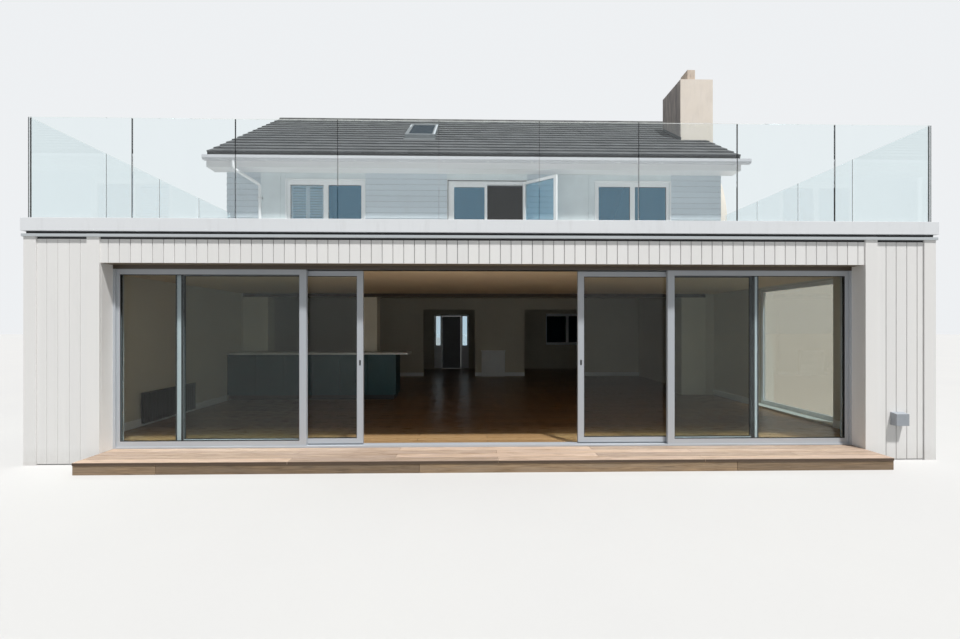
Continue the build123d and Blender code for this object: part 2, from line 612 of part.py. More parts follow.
def eaves_boards():
    """Fascia and soffit as one folded board, at the front and at the back."""
    boards = []
    for wall_y, out in ((HOUSE_FRONT, -1), (HOUSE_BACK, 1)):
        inner = wall_y + out * EAVES_REACH
        outer = inner + out * BOARD_THICK
        boards.append(along_x([(wall_y, SOFFIT_LEVEL), (outer, SOFFIT_LEVEL), (outer, GUTTER_TOP),
                               (inner, GUTTER_TOP), (inner, SOFFIT_LEVEL + BOARD_THICK),
                               (wall_y, SOFFIT_LEVEL + BOARD_THICK)], VERGE_LEFT, VERGE_RIGHT))
    return group(boards)


def bargeboards(stack):
    """Boards under the verges of both gables."""
    low = SOFFIT_LEVEL + BOARD_THICK
    outline = [(FRONT_EAVES, roof_under(FRONT_EAVES)), (RIDGE_Y, roof_under(RIDGE_Y)),
               (BACK_EAVES, roof_under(BACK_EAVES)), (BACK_EAVES, low), (HOUSE_BACK, low),
               (RIDGE_Y, roof_under(RIDGE_Y) - BARGE_HEIGHT), (HOUSE_FRONT, low), (FRONT_EAVES, low)]
    return group([along_x(outline, x0, x0 + BOARD_THICK) - stack
                  for x0 in (VERGE_LEFT, VERGE_RIGHT - BOARD_THICK)])


def gutters():
    """Open troughs with a slanted foot, on the fascias."""
    x0 = VERGE_LEFT - GUTTER_LEFT_EXTRA
    x1 = VERGE_RIGHT + GUTTER_RIGHT_EXTRA
    low = GUTTER_TOP - GUTTER_HEIGHT
    troughs = []
    for wall_y, out in ((HOUSE_FRONT, -1), (HOUSE_BACK, 1)):
        back = wall_y + out * (EAVES_REACH + BOARD_THICK)
        lip = back + out * GUTTER_WIDTH
        heel = lip - out * GUTTER_HEEL
        wall = out * GUTTER_WALL
        trough = along_x([(back, low), (heel, low), (lip, low + GUTTER_FOOT), (lip, GUTTER_TOP),
                          (back, GUTTER_TOP)], x0, x1)
        hollow = along_x([(back + wall, low + GUTTER_WALL), (heel - wall / 2, low + GUTTER_WALL),
                          (lip - wall, low + GUTTER_FOOT + GUTTER_WALL / 2), (lip - wall, GUTTER_TOP),
                          (back + wall, GUTTER_TOP)], x0 + GUTTER_WALL, x1 - GUTTER_WALL)
        troughs.append(trough - hollow)
    return group(troughs)


def downpipe():
    """Pipe from the gutter outlet, by a swan neck, down the wall to the terrace."""
    gutter_y = FRONT_EAVES - BOARD_THICK - GUTTER_WIDTH / 2
    wall_y = HOUSE_FRONT - PIPE_RADIUS - RUNNING_GAP
    outlet_x = HOUSE_LEFT + OUTLET_FROM_LEFT
    pipe_x = HOUSE_LEFT + PIPE_FROM_LEFT
    path = FilletPolyline((outlet_x, gutter_y, GUTTER_TOP - GUTTER_HEIGHT), (outlet_x, gutter_y, NECK_TOP),
                          (pipe_x, wall_y, NECK_BOTTOM), (pipe_x, wall_y, TERRACE_TOP + PIPE_END_GAP),
                          radius=PIPE_BEND)
    section = Plane(origin=path @ 0, z_dir=path % 0) * (Circle(PIPE_RADIUS) - Circle(PIPE_BORE))
    return sweep(section, path=path)


# Windows and doors of the house

def window(opening, z0, z1, outer_y, inward):
    """Frame with two lights and a sill, and its panes. inward is 1 where the room is on the +Y side."""
    x0, x1 = opening
    y0, y1 = sorted((outer_y + inward * WINDOW_SET_BACK, outer_y + inward * (WINDOW_SET_BACK + WINDOW_DEPTH)))
    frame = block(x0, x1, y0, y1, z0, z1)
    width = (x1 - x0 - 2 * WINDOW_FRAME - MULLION) / 2
    low = z0 + WINDOW_FRAME
    high = z1 - WINDOW_TOP_FACE
    panes = []
    for left in (x0 + WINDOW_FRAME, x1 - WINDOW_FRAME - width):
        frame -= block(left, left + width, y0, y1, low, high)
        panes.append(block(left - GLASS_BITE, left + width + GLASS_BITE, *span((y0 + y1) / 2, PANE_THICK),
                           low - GLASS_BITE, high + GLASS_BITE))
    for pane in panes:
        frame -= pane
    tip = outer_y - inward * SILL_REACH
    inner = outer_y + inward * (WINDOW_SET_BACK + WINDOW_DEPTH)
    frame += block(x0 - SILL_HORN, x1 + SILL_HORN, *sorted((tip, outer_y)), z0 - SILL_THICK, z0)
    frame += block(x0, x1, *sorted((outer_y, inner)), z0 - SILL_THICK, z0)
    return frame, panes


def side_window():
    """Full-height fixed window in the right wall of the extension."""
    x1 = EXT_RIGHT - WINDOW_SET_BACK
    x0 = x1 - WINDOW_DEPTH
    y0 = SIDE_WINDOW_START
    y1 = y0 + SIDE_WINDOW_WIDTH
    frame = block(x0, x1, y0, y1, SIDE_WINDOW_BOTTOM, ROOM_CEILING)
    frame -= block(x0, x1, y0 + WINDOW_FRAME, y1 - WINDOW_FRAME, SIDE_WINDOW_BOTTOM + WINDOW_FRAME,
                   ROOM_CEILING - WINDOW_FRAME)
    bite = WINDOW_FRAME - GLASS_BITE
    pane = block(*span((x0 + x1) / 2, PANE_THICK), y0 + bite, y1 - bite, SIDE_WINDOW_BOTTOM + bite,
                 ROOM_CEILING - bite)
    return frame - pane, [pane]


def terrace_door():
    """Frame with the left leaf shut, and the right leaf standing open over the terrace."""
    x0, x1 = TERRACE_DOOR
    y0 = HOUSE_FRONT
    y1 = y0 + WINDOW_DEPTH
    sill = FIRST_FLOOR_TOP + THRESHOLD
    head = WINDOW_HEAD - WINDOW_FRAME
    middle = (x0 + x1) / 2
    frame = block(x0, x1, y0, y1, FIRST_FLOOR_TOP, WINDOW_HEAD)
    frame -= block(x0 + WINDOW_FRAME, x1 - WINDOW_FRAME, y0, y1, sill, head)
    shut_frame, shut_pane = glazed_leaf(x0 + WINDOW_FRAME, middle, y0, y1, sill, head,
                                        SASH_FACE, SASH_FACE, SASH_FACE, PANE_THICK)
    hinge_x = x1 - LEAF_LAP
    open_frame, open_pane = glazed_leaf(middle - hinge_x, 0, 0, WINDOW_DEPTH, sill, WINDOW_HEAD - LEAF_LAP,
                                        SASH_FACE, SASH_FACE, SASH_FACE, PANE_THICK)
    place = Pos(hinge_x, y0 - RUNNING_GAP, 0) * Rot(0, 0, OPEN_LEAF_ANGLE)
    return frame + shut_frame, place * open_frame, [shut_pane, place * open_pane]


def louvre_shutters():
    """Two louvred shutters inside the left light of the left window."""
    x0, x1 = LEFT_WINDOW
    light = (x1 - x0 - 2 * WINDOW_FRAME - MULLION) / 2
    y0 = HOUSE_FRONT + WINDOW_SET_BACK + WINDOW_DEPTH
    y1 = y0 + SHUTTER_THICK
    z0 = WINDOW_SILL + WINDOW_FRAME
    z1 = WINDOW_HEAD - WINDOW_TOP_FACE
    width = (light - SHUTTER_GAP) / 2
    count = int((z1 - z0 - 2 * SHUTTER_STILE) / LOUVRE_PITCH)
    first = (z0 + z1) / 2 - (count - 1) * LOUVRE_PITCH / 2
    blade = Rot(90 - LOUVRE_TILT, 0, 0) * Box(width - 2 * SHUTTER_STILE + 2 * LOUVRE_BITE,
                                              LOUVRE_THICK, LOUVRE_WIDTH)
    leaves = []
    for start in (x0 + WINDOW_FRAME, x0 + WINDOW_FRAME + width + SHUTTER_GAP):
        leaf = block(start, start + width, y0, y1, z0, z1)
        leaf -= block(start + SHUTTER_STILE, start + width - SHUTTER_STILE, y0, y1,
                      z0 + SHUTTER_STILE, z1 - SHUTTER_STILE)
        for index in range(count):
            leaf += Pos(start + width / 2, (y0 + y1) / 2 + LOUVRE_THICK, first + index * LOUVRE_PITCH) * blade
        leaves.append(leaf)
    return group(leaves)


def entrance():
    """Entrance frame with its hinges and side lights, the lights' panes and the door leaf."""
    x0, x1 = ENTRANCE
    y1 = HOUSE_BACK - WINDOW_SET_BACK
    y0 = y1 - WINDOW_DEPTH
    head = ENTRANCE_HEAD - ENTRANCE_FRAME
    door0, door1 = span((x0 + x1) / 2, DOOR_WIDTH)
    frame = block(x0, x1, y0, y1, FLOOR_TOP, ENTRANCE_HEAD)
    frame -= block(door0 - DOOR_GAP, door1 + DOOR_GAP, y0, y1, FLOOR_TOP, head)
    panes = []
    for left, right in ((x0 + ENTRANCE_FRAME, door0 - DOOR_GAP - ENTRANCE_FRAME),
                        (door1 + DOOR_GAP + ENTRANCE_FRAME, x1 - ENTRANCE_FRAME)):
        frame -= block(left, right, y0, y1, LIGHT_SILL, head)
        pane = block(left - GLASS_BITE, right + GLASS_BITE, *span((y0 + y1) / 2, PANE_THICK),
                     LIGHT_SILL - GLASS_BITE, head + GLASS_BITE)
        frame -= pane
        panes.append(pane)
    for level in HINGE_LEVELS:
        frame += block(door0 - DOOR_GAP, door0 - RUNNING_GAP, y0 - HINGE_RADIUS, y0 + HINGE_PLATE,
                       *span(level, HINGE_LENGTH))
        frame += Pos(door0 - DOOR_GAP / 2, y0 - HINGE_RADIUS, level) * Cylinder(HINGE_RADIUS, HINGE_LENGTH)
    foot = FLOOR_TOP + DOOR_GAP
    top = head - DOOR_GAP
    leaf = block(door0, door1, y0, y0 + DOOR_THICK, foot, top)
    border = DOOR_PANEL_BORDER
    middle = (foot + top) / 2
    for low, high in ((foot + border, middle - border / 2), (middle + border / 2, top - border)):
        for face in (y0, y0 + DOOR_THICK - DOOR_PANEL_DEPTH):
            leaf -= block(door0 + border, door1 - border, face, face + DOOR_PANEL_DEPTH, low, high)
    return frame, panes, leaf


# Assembly

chimney_solid = chimney()
front_slope, roof_window, roof_pane = front_roof()
fixed_frames, fixed_panes = fixed_leaves()
left_leaf, left_pane = sliding_leaf(-1, LEFT_OPENED)
right_leaf, right_pane = sliding_leaf(1, RIGHT_OPENED)
terrace_frame, terrace_leaf, terrace_panes = terrace_door()
entrance_frame, entrance_panes, entrance_leaf = entrance()
windows = [
    window(LEFT_WINDOW, WINDOW_SILL, WINDOW_HEAD, HOUSE_FRONT, 1),
    window(RIGHT_WINDOW, WINDOW_SILL, WINDOW_HEAD, HOUSE_FRONT, 1),
    window(BACK_LEFT_WINDOW, BACK_LOWER_SILL, BACK_LOWER_HEAD, HOUSE_BACK, -1),
    window(BACK_RIGHT_WINDOW, BACK_LOWER_SILL, BACK_LOWER_HEAD, HOUSE_BACK, -1),
    window(BACK_LEFT_WINDOW, WINDOW_SILL, WINDOW_HEAD, HOUSE_BACK, -1),
    window(BACK_MIDDLE_WINDOW, WINDOW_SILL, WINDOW_HEAD, HOUSE_BACK, -1),
    window(BACK_RIGHT_WINDOW, WINDOW_SILL, WINDOW_HEAD, HOUSE_BACK, -1),
    side_window(),
]
window_panes = [pane for frame, panes in windows for pane in panes]

parts = {
    "ground_floor": ground_floor(),
    "front_piers": front_piers(),
    "pier_trim_boards": pier_trim_boards(),
    "front_lintel": block(RECESS_LEFT, RECESS_RIGHT, 0, FRONT_WALL, DOORWAY_HEAD, EXT_WALL_TOP),
    "extension_left_wall": block(EXT_LEFT, ROOM_LEFT, FRONT_WALL, HOUSE_FRONT, 0, EXT_WALL_TOP),
    "extension_right_wall": extension_right_wall(),
    "terrace_roof": block(ROOM_LEFT, ROOM_RIGHT, FRONT_WALL, HOUSE_FRONT, ROOM_CEILING, TERRACE_TOP),
    "terrace_coping": terrace_coping(),
    "balustrade_shoe": balustrade_shoe(),
    "front_balustrade_glass": front_balustrade_glass(),
    "side_balustrade_glass": side_balustrade_glass(),
    "door_outer_frame": door_outer_frame(),
    "fixed_leaf_frames": fixed_frames,
    "fixed_leaf_glass": fixed_panes,
    "left_sliding_leaf": left_leaf,
    "left_sliding_glass": left_pane,
    "right_sliding_leaf": right_leaf,
    "right_sliding_glass": right_pane,
    "timber_step": timber_step(),
    "outdoor_socket": outdoor_socket(),
    "house_left_wall": gable(HOUSE_LEFT, INNER_LEFT),
    "house_right_wall": gable(INNER_RIGHT, HOUSE_RIGHT) - chimney_solid,
    "upper_front_wall": upper_front_wall(),
    "support_frame": support_frame(),
    "back_wall_lower": back_wall_lower(),
    "back_wall_upper": back_wall_upper(),
    "first_floor": block(INNER_LEFT, INNER_RIGHT, INNER_FRONT, INNER_BACK, FIRST_FLOOR_UNDERSIDE,
                         FIRST_FLOOR_TOP),
    "hall_wall": hall_wall(),
    "kitchen_counter": kitchen_counter(),
    "chimney": chimney_solid,
    "chimney_pot": chimney_pot(),
    "front_roof_slope": front_slope,
    "rear_roof_slope": slope_prism(BACK_EAVES, VERGE_LEFT, VERGE_RIGHT),
    "roof_window": roof_window,
    "ridge_tiles": ridge_tiles(),
    "eaves_boards": eaves_boards(),
    "bargeboards": bargeboards(chimney_solid),
    "gutters": gutters(),
    "downpipe": downpipe(),
    "window_frames": group([frame for frame, panes in windows]),
    "window_glass": group(window_panes + [roof_pane] + terrace_panes + entrance_panes),
    "terrace_door_frame": terrace_frame,
    "terrace_door_open_leaf": terrace_leaf,
    "louvre_shutters": louvre_shutters(),
    "entrance_frame": entrance_frame,
    "entrance_door": entrance_leaf,
}

for name, shape in parts.items():
    export_step(shape, "parts/" + name + ".step")
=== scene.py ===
import json
import math
import random
from functools import cached_property

import bmesh
import bpy
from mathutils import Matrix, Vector

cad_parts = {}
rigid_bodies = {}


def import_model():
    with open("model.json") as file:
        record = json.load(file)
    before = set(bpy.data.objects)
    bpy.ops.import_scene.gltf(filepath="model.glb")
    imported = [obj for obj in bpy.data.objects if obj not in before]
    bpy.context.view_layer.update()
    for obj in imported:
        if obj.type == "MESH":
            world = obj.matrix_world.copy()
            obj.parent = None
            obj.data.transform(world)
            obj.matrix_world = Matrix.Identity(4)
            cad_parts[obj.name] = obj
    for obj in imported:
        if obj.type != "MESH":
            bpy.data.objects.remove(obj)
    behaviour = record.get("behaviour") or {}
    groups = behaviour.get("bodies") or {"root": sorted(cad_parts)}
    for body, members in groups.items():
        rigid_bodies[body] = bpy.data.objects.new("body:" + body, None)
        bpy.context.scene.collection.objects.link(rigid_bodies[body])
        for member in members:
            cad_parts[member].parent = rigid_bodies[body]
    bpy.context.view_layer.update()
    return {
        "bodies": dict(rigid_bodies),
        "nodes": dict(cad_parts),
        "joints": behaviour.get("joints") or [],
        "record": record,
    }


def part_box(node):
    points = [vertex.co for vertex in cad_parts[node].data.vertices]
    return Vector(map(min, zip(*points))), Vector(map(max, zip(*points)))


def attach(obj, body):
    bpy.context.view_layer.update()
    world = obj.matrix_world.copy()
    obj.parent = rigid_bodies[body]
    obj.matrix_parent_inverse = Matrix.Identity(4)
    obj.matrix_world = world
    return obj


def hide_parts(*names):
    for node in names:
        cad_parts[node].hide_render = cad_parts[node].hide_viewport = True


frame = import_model()
NODES = frame["nodes"]
rng = random.Random(11)

# Sizes of the house, metres
PIER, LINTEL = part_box("front_piers"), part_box("front_lintel")
EXT_L, EXT_R = PIER[0].x, PIER[1].x
REC_L, REC_R = LINTEL[0].x, LINTEL[1].x
HEAD, WALL_TOP, FRONT_WALL = LINTEL[0].z, LINTEL[1].z, LINTEL[1].y
GABLE_L, GABLE_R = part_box("house_left_wall"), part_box("house_right_wall")
HOUSE_L, HOUSE_R = GABLE_L[0].x, GABLE_R[1].x
HOUSE_F, HOUSE_B = GABLE_L[0].y, GABLE_L[1].y
INNER_L, INNER_R = GABLE_L[1].x, GABLE_R[0].x
SLOPE_BOX, REAR_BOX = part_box("front_roof_slope"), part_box("rear_roof_slope")
VERGE_L, VERGE_R = SLOPE_BOX[0].x, SLOPE_BOX[1].x
EAVES_F, EAVES_B, RIDGE_Y = SLOPE_BOX[0].y, REAR_BOX[1].y, SLOPE_BOX[1].y
RIDGE_Z = SLOPE_BOX[1].z
PITCH = math.radians(31.5)
EAVES_Z = RIDGE_Z - (RIDGE_Y - EAVES_F) * math.tan(PITCH)
ROOF_DROP = 0.150 / math.cos(PITCH)
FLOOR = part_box("ground_floor")[1].z
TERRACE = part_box("terrace_roof")[1].z
SILL, WINDOW_HEAD, SOFFIT = 4.020, 4.960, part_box("eaves_boards")[0].z
LEFT_WINDOW = (HOUSE_L + 2.174 - 0.860, HOUSE_L + 2.174 + 0.860)
RIGHT_WINDOW = (HOUSE_R - 2.012 - 0.845, HOUSE_R - 2.012 + 0.845)
DOOR_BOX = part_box("terrace_door_frame")
TERRACE_DOOR = (DOOR_BOX[0].x, DOOR_BOX[1].x)
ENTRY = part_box("entrance_frame")
ROOF_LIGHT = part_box("roof_window")
LIGHT_L, LIGHT_R = ROOF_LIGHT[0].x, ROOF_LIGHT[1].x
LIGHT_LOW, LIGHT_HIGH = [(corner.y - EAVES_F) / math.cos(PITCH) for corner in ROOF_LIGHT]
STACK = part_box("chimney")
BACK_W = 0.850
BACK_WINDOWS = [HOUSE_L + 2.174, (ENTRY[0].x + ENTRY[1].x) / 2, HOUSE_R - 2.012]
LOWER_SILL, LOWER_HEAD = 1.040, 2.200
SILL_DEPTH = 0.031


# Meshes

def add_object(name, data):
    item = bpy.data.objects.new(name, data)
    bpy.context.scene.collection.objects.link(item)
    return item


class Shape:
    """Collects closed solids of one piece. Each solid has its own tint between 0 and 1."""

    def __init__(self):
        self.points, self.faces, self.tints, self.slots = [], [], [], []

    def solid(self, points, faces, tint=None, slot=0):
        start = len(self.points)
        tint = rng.random() if tint is None else tint
        self.points += [tuple(p) for p in points]
        for face in faces:
            self.faces.append([start + i for i in face])
            self.tints.append(tint)
            self.slots.append(slot)

    def hexa(self, low, high, tint=None, slot=0):
        """Solid between two rings of four points."""
        sides = [(i, (i + 1) % 4, 4 + (i + 1) % 4, 4 + i) for i in range(4)]
        self.solid(list(low) + list(high), [(3, 2, 1, 0), (4, 5, 6, 7)] + sides, tint, slot)

    def block(self, x0, x1, y0, y1, z0, z1, tint=None, slot=0):
        ring = ((x0, y0), (x1, y0), (x1, y1), (x0, y1))
        self.hexa([(x, y, z0) for x, y in ring], [(x, y, z1) for x, y in ring], tint, slot)

    def panel(self, place, a0, a1, z0, z1, near, far, tint=0.5, slot=0):
        """Block on a wall, whose points place(along, out, z) gives."""
        ring = ((a0, near), (a1, near), (a1, far), (a0, far))
        self.hexa(*[[place(a, out, z) for a, out in ring] for z in (z0, z1)], tint, slot)

    def prism(self, ring, offset, tint=None, slot=0):
        """Solid from a flat ring of points, moved by offset."""
        count = len(ring)
        far = [tuple(Vector(p) + Vector(offset)) for p in ring]
        sides = [(i, (i + 1) % count, count + (i + 1) % count, count + i) for i in range(count)]
        self.solid(list(ring) + far, [tuple(range(count))[::-1], tuple(range(count, 2 * count))] + sides,
                   tint, slot)

    def build(self, name, slot, materials, bevel=0.0, body="house"):
        mesh = bpy.data.meshes.new(name)
        mesh.from_pydata(self.points, [], self.faces)
        tints = mesh.attributes.new("tint", "FLOAT", "FACE")
        tints.data.foreach_set("value", self.tints)
        mesh.polygons.foreach_set("material_index", self.slots)
        work = bmesh.new()
        work.from_mesh(mesh)
        bmesh.ops.recalc_face_normals(work, faces=work.faces)
        work.to_mesh(mesh)
        work.free()
        for material in materials:
            mesh.materials.append(material)
        piece = add_object(name, mesh)
        if bevel:
            edge = piece.modifiers.new("edge", "BEVEL")
            edge.width = bevel
            edge.segments = 1
            edge.limit_method = "ANGLE"
        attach(piece, body)
        return piece


# Materials

class Nodes:
    """The node tree of a new material, or of a world, with short calls."""

    def __init__(self, owner, output="ShaderNodeOutputMaterial"):
        if isinstance(owner, str):
            owner = bpy.data.materials.new(owner)
        owner.use_nodes = True
        self.owner, self.tree = owner, owner.node_tree
        self.tree.nodes.clear()
        self.out = self.add(output)

    @cached_property
    def place(self):
        return self.add("ShaderNodeTexCoord").outputs["Object"]

    def add(self, kind, **settings):
        node = self.tree.nodes.new(kind)
        for key, value in settings.items():
            setattr(node, key, value)
        return node

    def link(self, source, target):
        self.tree.links.new(source, target)

    def noise(self, size, stretch=(1, 1, 1), detail=4.0, rough=0.55):
        """Noise with features of about size metres, longer along the stretched axes."""
        mapping = self.add("ShaderNodeMapping")
        mapping.inputs["Scale"].default_value = [1 / (size * s) for s in stretch]
        self.link(self.place, mapping.inputs["Vector"])
        noise = self.add("ShaderNodeTexNoise")
        for key, value in (("Scale", 1.0), ("Detail", detail), ("Roughness", rough)):
            noise.inputs[key].default_value = value
        self.link(mapping.outputs["Vector"], noise.inputs["Vector"])
        return noise.outputs["Fac"]

    def span(self, value, low, high, to_low=0.0, to_high=1.0):
        node = self.add("ShaderNodeMapRange")
        for key, number in (("From Min", low), ("From Max", high), ("To Min", to_low), ("To Max", to_high)):
            node.inputs[key].default_value = number
        self.link(value, node.inputs["Value"])
        return node.outputs["Result"]

    def even(self, value, to_low=0.0, to_high=1.0):
        """Spreads the middle of a noise's range."""
        return self.span(value, 0.3, 0.7, to_low, to_high)

    def math(self, operation, a, b):
        node = self.add("ShaderNodeMath", operation=operation)
        for index, value in enumerate((a, b)):
            if isinstance(value, (int, float)):
                node.inputs[index].default_value = value
            else:
                self.link(value, node.inputs[index])
        return node.outputs[0]

    def mix(self, factor, a, b, blend="MIX"):
        node = self.add("ShaderNodeMix", data_type="RGBA", blend_type=blend)
        sockets = (node.inputs[0], node.inputs[6], node.inputs[7])
        for socket, value in zip(sockets, (factor, a, b)):
            if isinstance(value, (int, float)):
                socket.default_value = value
            elif isinstance(value, (tuple, list)):
                socket.default_value = (*value, 1.0)
            else:
                self.link(value, socket)
        return node.outputs[2]

    def part(self, vector, axis):
        node = self.add("ShaderNodeSeparateXYZ")
        self.link(vector, node.inputs[0])
        return node.outputs[axis]

    def normal(self):
        return self.add("ShaderNodeNewGeometry").outputs["Normal"]

    def facing(self, axis, start, end, most=1.0):
        """Up to most on faces that look down the axis, 0 on the others."""
        return self.span(self.part(self.normal(), axis), start, end, most, 0.0)

    def tinted(self, colour, amount):
        """Darkens each solid by its own share of amount."""
        each = self.add("ShaderNodeAttribute", attribute_name="tint").outputs["Fac"]
        level = self.span(each, 0.0, 1.0, 1.0 - amount, 1.0)
        grey = self.add("ShaderNodeCombineColor")
        for index in range(3):
            self.link(level, grey.inputs[index])
        return self.mix(1.0, colour, grey.outputs[0], "MULTIPLY")

    def brick(self, length, width, gap, tones):
        pattern = self.add("ShaderNodeTexBrick", offset=0.5)
        for key, value in (("Scale", 1.0), ("Brick Width", length), ("Row Height", width), ("Mortar Size", gap)):
            pattern.inputs[key].default_value = value
        for key, tone in zip(("Color1", "Color2", "Mortar"), tones):
            pattern.inputs[key].default_value = (*tone, 1)
        self.link(self.place, pattern.inputs["Vector"])
        return pattern

    def seen(self):
        """1 for the rays that show a thing, 0 for the light that it gives."""
        rays = self.add("ShaderNodeLightPath").outputs
        return self.math("MAXIMUM", self.math("MAXIMUM", rays["Is Camera Ray"], rays["Is Glossy Ray"]),
                         rays["Is Transmission Ray"])

    def coat(self, colour, fine, low, high, bump):
        """Surface whose gloss, from low to high, and relief follow one fine noise."""
        return self.done(self.principled(colour, self.even(fine, low, high), fine, bump))

    def pick(self, factor, first, second):
        node = self.add("ShaderNodeMixShader")
        for source, socket in zip((factor, first.outputs[0], second.outputs[0]), node.inputs):
            self.link(source, socket)
        return node

    def lets_light_in(self, shader, tint):
        """The shader, but clear to shadow rays."""
        clear = self.add("ShaderNodeBsdfTransparent")
        clear.inputs["Color"].default_value = (*tint, 1)
        return self.pick(self.add("ShaderNodeLightPath").outputs["Is Shadow Ray"], shader, clear)

    def principled(self, colour, rough, height=None, bump=0.0, ior=1.5):
        shader = self.add("ShaderNodeBsdfPrincipled")
        if isinstance(colour, tuple):
            shader.inputs["Base Color"].default_value = (*colour, 1.0)
        else:
            self.link(colour, shader.inputs["Base Color"])
        if isinstance(rough, float):
            shader.inputs["Roughness"].default_value = rough
        else:
            self.link(rough, shader.inputs["Roughness"])
        shader.inputs["IOR"].default_value = ior
        if height is not None:
            node = self.add("ShaderNodeBump")
            node.inputs["Distance"].default_value = bump
            node.inputs["Strength"].default_value = 1.0
            self.link(height, node.inputs["Height"])
            self.link(node.outputs["Normal"], shader.inputs["Normal"])
        return shader

    def done(self, shader):
        self.link(shader.outputs[0], self.out.inputs["Surface"])
        return self.owner


def surface(name, base, vary, size=0.6, stretch=(1, 1, 1), rough=(0.4, 0.6), grain=0.004,
            grain_stretch=(1, 1, 1), bump=0.0006, tint=0.0, dirt=None, splash=None, top=None):
    """Painted, moulded or stone surface: slow colour change, fine grain, dirt, ground splash, and with top a painted
    shade that darkens upward faces.
    """
    n = Nodes(name)
    slow = n.noise(size, stretch)
    fine = n.noise(grain, grain_stretch, 3.0)
    colour = n.mix(n.even(slow), base, vary)
    if tint:
        colour = n.tinted(colour, tint)
    if dirt:
        tone, amount, dirt_size, dirt_stretch = dirt
        marks = n.span(n.noise(dirt_size, dirt_stretch, 6.0, 0.7), 0.52, 0.75, 0.0, amount)
        colour = n.mix(marks, colour, tone)
    if splash:
        tone, amount, height = splash
        level = n.span(n.part(n.place, 2), 0.0, height, amount, 0.0)
        colour = n.mix(n.math("MULTIPLY", level, n.even(n.noise(0.12), 0.3, 1.0)), colour, tone)
    if top:
        # Painted shade: upward faces take the darker top tone, against the stronger light that falls on tops.
        top_painted_shade = n.span(n.part(n.normal(), 2), 0.7, 0.95)
        colour = n.mix(n.math("MULTIPLY", top_painted_shade, n.span(slow, 0.2, 0.8, 0.85, 1.0)), colour, top)
    gloss = n.even(n.math("ADD", n.math("MULTIPLY", slow, 0.5), n.math("MULTIPLY", fine, 0.5)), *rough)
    return n.done(n.principled(colour, gloss, fine, bump))


def timber(name, pale, dark, along, rough=(0.55, 0.8), tint=0.3, bump=0.0012, grey=None, front=None):
    """Board with grain along one axis, its tint changing from board to board."""
    n = Nodes(name)
    stretch = [1.0, 1.0, 1.0]
    stretch[along] = 26.0
    grain = n.noise(0.012, stretch, 6.0, 0.65)
    stretch[along] = 9.0
    broad = n.noise(0.06, stretch, 3.0)
    colour = n.mix(n.span(grain, 0.36, 0.62), dark, pale)
    colour = n.mix(n.span(broad, 0.40, 0.62, 0.0, 0.55), colour, grey or dark)
    stretch[along] = 14.0
    stain_and_shade = n.span(n.noise(0.022, stretch, 4.0, 0.6), 0.56, 0.68, 0.0, 0.6)
    colour = n.mix(stain_and_shade, colour, tuple(0.55 * c for c in dark))
    colour = n.tinted(colour, tint)
    # front paints the faces that look toward -Y in its tone; on the step this is painted shade under the nosing,
    # together with the weathered dark of the front edge.
    if front:
        colour = n.mix(n.facing(1, -0.9, -0.5), colour, front)
    return n.done(n.principled(colour, n.even(grain, *rough), grain, bump))


def paving_material():
    """Flat roof, with the warm ceiling paint on its underside."""
    n = Nodes("terrace_paving")
    joint = (0.22, 0.21, 0.20)
    pattern = n.brick(0.6, 0.6, 0.006, ((0.66, 0.645, 0.62), (0.58, 0.57, 0.555), joint))
    fine = n.noise(0.01, detail=5.0)
    colour = n.mix(n.even(fine, 0.0, 0.35), pattern.outputs["Color"], joint)
    colour = n.mix(n.facing(2, -0.6, -0.4), colour, (0.80, 0.63, 0.43))
    height = n.math("SUBTRACT", fine, n.math("MULTIPLY", pattern.outputs["Fac"], 2.0))
    return n.done(n.principled(colour, n.even(fine, 0.7, 0.88), height, 0.002))


def glass(name, tint, edge, axis, ior=1.45, smear=0.03):
    """Clear pane. Faces across the pane's own axis are its edges, which look darker."""
    n = Nodes(name)
    away = n.math("ABSOLUTE", n.part(n.normal(), axis), 0.0)
    streaks = n.noise(0.25, (1, 1, 3), 5.0)
    body = n.mix(n.span(streaks, 0.35, 0.7, 0.0, 0.12), tint, tuple(0.93 * c for c in tint))
    colour = n.mix(n.span(away, 0.3, 0.6, 1.0, 0.0), body, edge)
    shader = n.principled(colour, n.even(streaks, 0.0, smear), ior=ior)
    shader.inputs["Transmission Weight"].default_value = 1.0
    return n.done(n.lets_light_in(shader, tint))


def counter_material():
    """Teal units on a dark plinth under a pale worktop, by height."""
    n = Nodes("counter_finish")
    high = n.part(n.place, 2)
    fine = n.noise(0.004)
    units = n.mix(n.even(n.noise(0.5)), (0.005, 0.042, 0.053), (0.007, 0.052, 0.063))
    colour = n.mix(n.span(high, 0.238, 0.242, 1.0, 0.0), units, (0.02, 0.02, 0.022))
    stone = n.mix(n.span(n.noise(0.02, detail=6.0), 0.4, 0.7), (0.78, 0.78, 0.76), (0.62, 0.62, 0.61))
    colour = n.mix(n.span(high, 1.094, 1.096), colour, stone)
    return n.coat(colour, fine, 0.28, 0.42, 0.0003)


